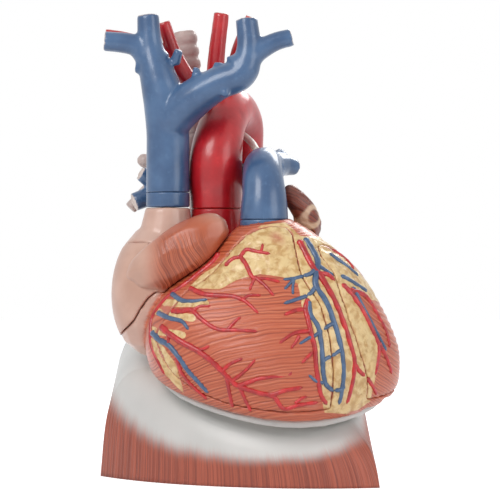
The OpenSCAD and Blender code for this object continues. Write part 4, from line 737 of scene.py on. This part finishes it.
def surface_route(points, r_from, r_to):
    """Closed tube that lies along grid points on the ventricles, its ends drawn to points."""
    g = cubic(points, 6)
    d = on_wall(g)
    n = len(g)
    f = np.linspace(0, 1, n)
    r = r_from * (1 - f) + r_to * f
    p = HEART_C + d * (ventricle_r(d) - 0.42 * r)[:, None]
    way = unit(np.gradient(p, axis=0))
    p = np.vstack([p[:1] - way[:1] * r[0] * 0.7, p, p[-1:] + way[-1:] * r[-1] * 1.4])
    r = np.concatenate([[r[0] * 0.45], r, [r[-1] * 0.15]])
    r *= 1 + 0.05 * np.sin(np.arange(len(r)) * 1.7)
    reach = (1.08 * r)[:, None]
    return tube_arrays(np.clip(p, BOX_LOW + reach, BOX_HIGH - reach), r, 12)


def vessel_net(name, node, body, routes, main_r, material):
    verts, faces, base = [], [], 0
    for points, a, b in routes:
        v, f = surface_route(points, main_r * (0.22 + 0.8 * a), main_r * (0.22 + 0.8 * b))
        verts.append(v)
        faces += [[i + base for i in face] for face in f]
        base += len(v)
    o = new_object(name, np.vstack(verts), faces, body, material)
    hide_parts(node)
    return o


RIGHT_CORONARY = [
    ([[218, 254], [212, 262], [201, 271], [186, 283], [168, 296], [153, 315], [150, 332], [152, 349],
      [163, 372]], 1.05, 0.5)]
LEFT_CORONARY = [
    ([[300, 241], [306, 253], [313, 266], [322, 277], [335, 300], [345, 325], [351, 345], [355, 362],
      [353, 382], [348, 401]], 1.05, 0.6),
    ([[355, 363], [359, 370], [364, 375]], 0.6, 0.5),
    ([[321, 273], [328, 274], [333, 278]], 0.7, 0.6)]
GREAT_VEIN = [
    ([[306, 239], [313, 250], [318, 262], [316, 284], [327, 302], [337, 330], [342, 350], [344, 370],
      [343, 386], [340, 402]], 1.15, 0.6),
    ([[317, 267], [311, 273], [305, 275]], 0.8, 0.5), ([[316, 286], [312, 292], [309, 294]], 0.7, 0.5),
    ([[335, 323], [330, 325], [326, 328]], 0.6, 0.45), ([[342, 350], [338, 352], [334, 355]], 0.6, 0.45),
    ([[344, 387], [341, 390], [337, 390.5]], 0.65, 0.5), ([[319, 265], [326, 270], [332, 274]], 0.6, 0.5)]
RIGHT_WALL_ARTERIES = [
    ([[226, 264], [233, 258], [240, 256], [246, 249], [257, 251], [268, 253]], 0.65, 0.35),
    ([[261, 251], [262, 248], [262.5, 244.5]], 0.34, 0.2),
    ([[240, 256], [246, 264], [251, 275], [255, 278]], 0.62, 0.5),
    ([[255, 277], [252, 283], [250, 288.5]], 0.4, 0.2), ([[255, 277], [265, 285], [273, 294.5]], 0.45, 0.25),
    ([[257, 278], [267, 278.5], [278, 281]], 0.45, 0.25),
    ([[190, 288], [204, 294], [217, 295], [232, 296], [242, 299]], 0.8, 0.5),
    ([[242, 299], [249, 304], [257, 312]], 0.45, 0.22), ([[243, 298.5], [250, 295], [259, 295]], 0.4, 0.22),
    ([[172, 311], [181, 311], [191, 310], [201, 319], [217, 329], [236, 330], [255, 331]], 0.78, 0.28),
    ([[193, 310], [200, 306], [209, 306]], 0.4, 0.22), ([[228, 329], [234, 322], [239, 318]], 0.42, 0.25),
    ([[161, 327], [168, 333], [181, 342], [196, 350], [212, 362], [230, 380], [240, 387], [268, 395],
      [284, 391], [300, 388]], 1.05, 0.45),
    ([[167, 332], [168, 338], [167.5, 344]], 0.5, 0.4),
    ([[198, 350], [203, 349], [208, 346.5]], 0.4, 0.22), ([[222, 371], [230, 364], [241, 359]], 0.45, 0.22),
    ([[232, 381], [240, 375], [247, 369], [254, 361]], 0.42, 0.2),
    ([[238, 386], [250, 382], [261, 378.5], [287, 376], [291, 373]], 0.6, 0.25),
    ([[226, 376], [229, 392], [232, 406]], 0.55, 0.35), ([[240, 388], [245, 400], [250, 410]], 0.5, 0.3),
    ([[268, 395], [275, 398], [284, 409], [300, 405], [316, 403]], 0.62, 0.4),
    ([[296, 403], [301, 399], [306, 397]], 0.35, 0.2),
    ([[308, 300], [306, 309], [308, 318], [311, 331], [315, 348], [316, 360], [317, 371], [321, 394],
      [326, 403]], 0.8, 0.5),
    ([[305, 309], [296, 310], [286, 314]], 0.6, 0.35),
    ([[309, 331], [298, 332], [289, 336], [281, 342]], 0.55, 0.25),
    ([[299, 336], [296, 342], [292, 347]], 0.38, 0.2), ([[312, 353], [308, 357], [303, 362]], 0.38, 0.22),
    ([[176, 358], [181, 372], [190, 384], [205, 398]], 0.55, 0.4)]
RIGHT_WALL_VEINS = [
    ([[172, 294], [181, 300], [192, 301], [205, 299.5]], 0.85, 0.35),
    ([[158, 313], [169, 318], [181, 321], [187, 328]], 0.85, 0.35),
    ([[152, 333], [159, 340], [168, 345], [178, 357], [187, 370], [196, 380], [206, 391]], 1.05, 0.55),
    ([[309, 302], [311, 315], [318, 326], [321, 340], [323, 360], [323.5, 372], [326, 384],
      [332, 390]], 0.85, 0.6),
    ([[302, 276], [294, 278], [285, 279]], 0.55, 0.3), ([[295, 278], [290, 283], [285.5, 288]], 0.42, 0.25),
    ([[294, 279], [293, 286], [293, 293]], 0.35, 0.2),
    ([[306, 296], [297, 299], [286, 302.5]], 0.62, 0.4),
    ([[321, 331], [316, 335], [309, 338], [301, 343]], 0.6, 0.25),
    ([[330, 357], [326, 359], [323, 362]], 0.5, 0.45),
    ([[323, 383], [316, 381], [310, 376]], 0.45, 0.2)]
LEFT_WALL_ARTERIES = [
    ([[344, 285], [353, 295], [363, 310], [373, 330], [379, 345], [379, 358], [376, 373]], 0.95, 0.4),
    ([[380, 344], [387, 358], [392, 372]], 0.7, 0.4),
    ([[352, 290], [362, 293], [368, 298], [376, 311], [386, 330], [390, 345]], 0.85, 0.4),
    ([[334, 250], [346, 259], [353, 267]], 0.6, 0.4), ([[368.5, 379], [373, 386], [377, 394]], 0.55, 0.3)]
LEFT_WALL_VEINS = [
    ([[343, 276], [352, 281], [366, 290]], 0.8, 0.6),
    ([[354, 288], [362, 304], [368, 315], [378, 334], [386, 349]], 0.7, 0.4),
    ([[331, 254], [345, 264], [357, 274]], 0.7, 0.5)]
vessel_net("right_coronary_tube", "right_coronary_artery", "heart", RIGHT_CORONARY, ARTERY_R, SMALL_RED)
vessel_net("left_coronary_tube", "left_coronary_artery", "heart", LEFT_CORONARY, ARTERY_R, SMALL_RED)
vessel_net("great_vein_tube", "great_cardiac_vein", "heart", GREAT_VEIN, VEIN_R, SMALL_BLUE)
vessel_net("right_wall_artery_net", "right_ventricle_arteries", "right_ventricle", RIGHT_WALL_ARTERIES,
           ARTERY_R, SMALL_RED)
vessel_net("right_wall_vein_net", "right_ventricle_veins", "right_ventricle", RIGHT_WALL_VEINS, VEIN_R,
           SMALL_BLUE)
vessel_net("left_wall_artery_net", "left_ventricle_arteries", "left_ventricle", LEFT_WALL_ARTERIES,
           ARTERY_R, SMALL_RED)
vessel_net("left_wall_vein_net", "left_ventricle_veins", "left_ventricle", LEFT_WALL_VEINS, VEIN_R,
           SMALL_BLUE)

SINUS = cubic([[*(HEART_C + d * (ventricle_r(d) - 0.6)), VEIN_R * s] for d, s in zip(
    direction(np.array([-138, -152, -168, 176, 160, 148.0]), np.array([26, 24, 23, 25, 30, 37.0])),
    [2, 2.4, 2.4, 2, 1.6, 1])], 8)
sinus_v, sinus_f = tube_arrays(SINUS[:, :3], SINUS[:, 3], 24)
sinus = new_object("coronary_sinus_tube", sinus_v, sinus_f, "heart", SMALL_BLUE)
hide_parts("coronary_sinus")


# ---- Base: a domed top that fades from white to ridged red-brown ----
DOME_C = np.array([20.0, 0.0])
DISH_T, SEAT_GAP = 4, 0.3
DISH_FLOOR = SEAT_DEPTH + DISH_T + 2 * SEAT_GAP
SIDE_STEPS = 241, 130, 150, 72  # points along the front arc, the right side, the back and the left side
LEFT, RIGHT, BACK, ARC = np.array([-115.0, -4.0]), np.array([122.0, -95.0]), 109.0, 225.0


def footprint():
    chord = RIGHT - LEFT
    rise = math.sqrt(ARC ** 2 - chord @ chord / 4)
    c = (LEFT + RIGHT) / 2 + rise * np.array([-chord[1], chord[0]]) / np.linalg.norm(chord)
    a0, a1 = (math.atan2(*(p - c)[::-1]) for p in (LEFT, RIGHT))
    a0 -= 2 * math.pi if a0 > 0 else 0
    a = np.linspace(a0, a1, SIDE_STEPS[0])
    front = c + ARC * np.stack([np.cos(a), np.sin(a)], 1)
    line = lambda p, q, n: np.array(p) + (np.array(q) - np.array(p)) * (np.arange(1, n + 1) / n)[:, None]
    back_right, back_left = [RIGHT[0], BACK], [LEFT[0], BACK]
    return np.vstack([front, line(RIGHT, back_right, SIDE_STEPS[1]),
                      line(back_right, back_left, SIDE_STEPS[2]), line(back_left, LEFT, SIDE_STEPS[3])[:-1]])


def seat_z(q, depth):
    across = (q[:, 0] - HEART_C[0]) * SEAT_N[0] + (q[:, 1] - HEART_C[1]) * SEAT_N[1]
    return HEART_C[2] - (depth + across) / SEAT_N[2]


def dome_ring(p, a, inset, bump=0):
    h = math.sin(a) ** 0.55
    s = math.cos(a) ** 0.26 * (1 - 0.06 * h)
    q = DOME_C + (p - DOME_C) * (s - (inset + bump) / np.linalg.norm(p - DOME_C, axis=1))[:, None]
    return np.column_stack([q, h * (seat_z(q, DISH_FLOOR) - inset)]), h


def base_piece():
    loop = footprint()
    n = len(loop)
    step = np.linalg.norm(np.roll(loop, -1, 0) - loop, axis=1)
    run = np.concatenate([[0], np.cumsum(step)[:-1]])
    rings, skirts, bands = [], [], []
    turn = np.array([noise.noise(Vector((x / 55, 3.1, 0))) for x in run])
    fine = np.array([noise.noise(Vector((x / 9, 7.7, 0))) for x in run])
    t = np.linspace(-1, 1, SIDE_STEPS[0])
    front = 0.39 + np.where(t < 0, 0.26 * t ** 2, 0.45 * np.abs(t) ** 2.5)
    low = np.concatenate([front, np.linspace(0.84, 0.5, SIDE_STEPS[1]), np.full(SIDE_STEPS[2], 0.5),
                          np.linspace(0.5, 0.65, SIDE_STEPS[3] - 1)])
    low = low + 0.03 * turn + 0.02 * fine
    for a in np.concatenate([np.linspace(0, 0.06, 12)[:-1], np.linspace(0.06, 1.5, 84), [1.54, 1.565]]):
        ridge = 0.5 - 0.5 * np.sin(run * 2 * math.pi / 4.2 + 3 * turn + 2.0 * math.sin(3 * a))
        h = math.sin(a) ** 0.55
        skirt = smooth_step(low - h, -0.2, 0.16)
        ring, h = dome_ring(loop, a, 0, 0.55 * ridge * skirt)
        rings.append(ring)
        skirts.append(skirt)
        bands.append(run * 0.9 + 4 * turn + 5 * math.sin(2.2 * a))
    count = len(rings)
    inner = [dome_ring(loop, a, 5)[0] for a in (0.0, 0.05, 0.2, 0.45, 0.8, 1.15, 1.45)]
    inner[0][:, 2] = 0
    top, under = ([[*DOME_C, r[-1][:, 2].mean()]] for r in (rings, inner))
    verts = np.vstack([*rings, top, *inner, under])
    faces = []
    tip = count * n
    for i in range(count - 1):
        for j in range(n):
            k = (j + 1) % n
            faces.append([i * n + j, i * n + k, (i + 1) * n + k, (i + 1) * n + j])
    faces += [[(count - 1) * n + j, (count - 1) * n + (j + 1) % n, tip] for j in range(n)]
    b = tip + 1
    m = len(inner)
    for i in range(m - 1):
        for j in range(n):
            k = (j + 1) % n
            faces.append([b + i * n + k, b + i * n + j, b + (i + 1) * n + j, b + (i + 1) * n + k])
    faces += [[b + (m - 1) * n + (j + 1) % n, b + (m - 1) * n + j, b + m * n] for j in range(n)]
    faces += [[(j + 1) % n, j, b + j, b + (j + 1) % n] for j in range(n)]
    o = new_object("diaphragm_skin", verts, faces, "base", BASE)
    zeros = np.zeros(m * n + 1)
    attribute(o, "skirt", np.concatenate([np.concatenate(skirts), [0], zeros]))
    attribute(o, "band", np.concatenate([np.concatenate(bands), [0], zeros]))
    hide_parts("diaphragm_base")


base_piece()


# ---- Parts that keep the solid's form with its edges smoothed, and nodes shown as they are ----
def softened(node, name, body, size, rounds, material):
    o = remesh(node_copy(node, name), size, rounds, 0.5)
    finish_object(o, body, material)
    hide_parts(node)
    return o


softened("pericardial_dish", "pericardial_rim", "base", 1.3, 16, WHITE)
softened("trachea", "windpipe", "airway", 0.9, 3, CARTILAGE)
softened("bronchi", "bronchial_fork", "airway", 1.1, 10, CARTILAGE)
softened("oesophagus", "gullet_tube", "gullet", 1.3, 8, LINING)
softened("pulmonary_veins", "pulmonary_vein_tubes", "heart", 1.2, 6, RED)
softened("inferior_vena_cava", "lower_vena_cava", "heart", 1.2, 5, BLUE)
softened("vena_cava_ring", "vena_cava_collar", "heart", 1.0, 2, BLUE)
softened("aortic_root", "aortic_collar", "heart", 1.0, 2, RED)
softened("pulmonary_root", "pulmonary_collar", "heart", 1.0, 2, BLUE)
softened("arterial_ligament", "ligament_cord", "aortic_arch", 0.6, 6, CORD)
for node, material in (("base_plate", WHITE), ("base_plate_screws", STEEL), ("support_posts", STEEL),
                       ("oesophagus_pin", STEEL), ("dowel_bushes", STEEL), ("right_ventricle_pins", STEEL),
                       ("left_ventricle_pins", STEEL), ("right_atrium_pins", STEEL),
                       ("left_atrium_pins", STEEL),
                       ("vena_cava_spigot", BLUE), ("aortic_spigot", RED), ("pulmonary_spigot", BLUE),
                       ("tricuspid_valve", VALVE), ("mitral_valve", VALVE), ("aortic_valve", VALVE),
                       ("pulmonary_valve", VALVE), ("tricuspid_chordae", CORD), ("mitral_chordae", CORD)):
    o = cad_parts[node]
    for s in o.material_slots:
        s.material = material


# ---- Floor, light and camera ----
def plane(name, corners, material):
    me = bpy.data.meshes.new(name)
    me.from_pydata(corners, [], [(0, 1, 2, 3)])
    o = bpy.data.objects.new(name, me)
    bpy.context.scene.collection.objects.link(o)
    me.materials.append(material)
    return o


floor_paint = Paint("floor_paper", 0.9)
paths = floor_paint.tree.nodes.new("ShaderNodeLightPath")
glow = floor_paint.math("MAXIMUM", paths.outputs["Is Camera Ray"],
                        floor_paint.math("MAXIMUM", paths.outputs["Is Glossy Ray"],
                                         paths.outputs["Is Transmission Ray"]))
floor_paint.bsdf.inputs["Emission Color"].default_value = (1, 1, 1, 1)
floor_paint.put(floor_paint.math("MULTIPLY", glow, 0.64), floor_paint.bsdf.inputs["Emission Strength"])
floor_paint.finish(floor_paint.mix(floor_paint.noise(6), (0.86, 0.86, 0.86, 1), (0.88, 0.88, 0.88, 1)))
plane("floor", [(-4, -4, 0), (4, -4, 0), (4, 4, 0), (-4, 4, 0)], floor_paint.mat)

world = bpy.data.worlds.new("studio")
bpy.context.scene.world = world
world.use_nodes = True
wt = world.node_tree
background = wt.nodes["Background"]
path = wt.nodes.new("ShaderNodeLightPath")
wide = wt.nodes.new("ShaderNodeBackground")
wide.inputs["Color"].default_value = (1, 1, 1, 1)
wide.inputs["Strength"].default_value = 1.0
background.inputs["Color"].default_value = (0.9, 0.93, 1.0, 1)
background.inputs["Strength"].default_value = 0.42
seen = wt.nodes.new("ShaderNodeMath")
seen.operation = "MAXIMUM"
wt.links.new(path.outputs["Is Camera Ray"], seen.inputs[0])
wt.links.new(path.outputs["Is Glossy Ray"], seen.inputs[1])
choose = wt.nodes.new("ShaderNodeMixShader")
wt.links.new(seen.outputs[0], choose.inputs[0])
wt.links.new(background.outputs[0], choose.inputs[1])
wt.links.new(wide.outputs[0], choose.inputs[2])
wt.links.new(choose.outputs[0], wt.nodes["World Output"].inputs["Surface"])


def lamp(name, at, aim, size, power, colour=(1, 1, 1)):
    data = bpy.data.lights.new(name, "AREA")
    data.shape = "RECTANGLE"
    data.size, data.size_y = size
    data.energy = power
    data.color = colour
    o = bpy.data.objects.new(name, data)
    bpy.context.scene.collection.objects.link(o)
    o.location = at
    o.rotation_euler = (Vector(aim) - Vector(at)).to_track_quat("-Z", "Y").to_euler()


lamp("key", (-0.9, -1.3, 1.25), (0, 0, 0.2), (0.9, 0.9), 17)
lamp("fill", (1.2, -1.0, 0.7), (0.02, 0, 0.18), (0.9, 0.9), 6)
lamp("rim", (0.5, 1.1, 1.1), (0, 0, 0.25), (0.8, 0.5), 9)

camera = bpy.data.objects.new("camera", bpy.data.cameras.new("camera"))
bpy.context.scene.collection.objects.link(camera)
camera.location = (0.015, -1.811, 0.196)
camera.rotation_euler = (math.pi / 2, 0, 0)
camera.data.lens = 150
camera.data.sensor_width = 36
camera.data.clip_end = 50
bpy.context.scene.camera = camera
bpy.context.scene.view_settings.view_transform = "Standard"
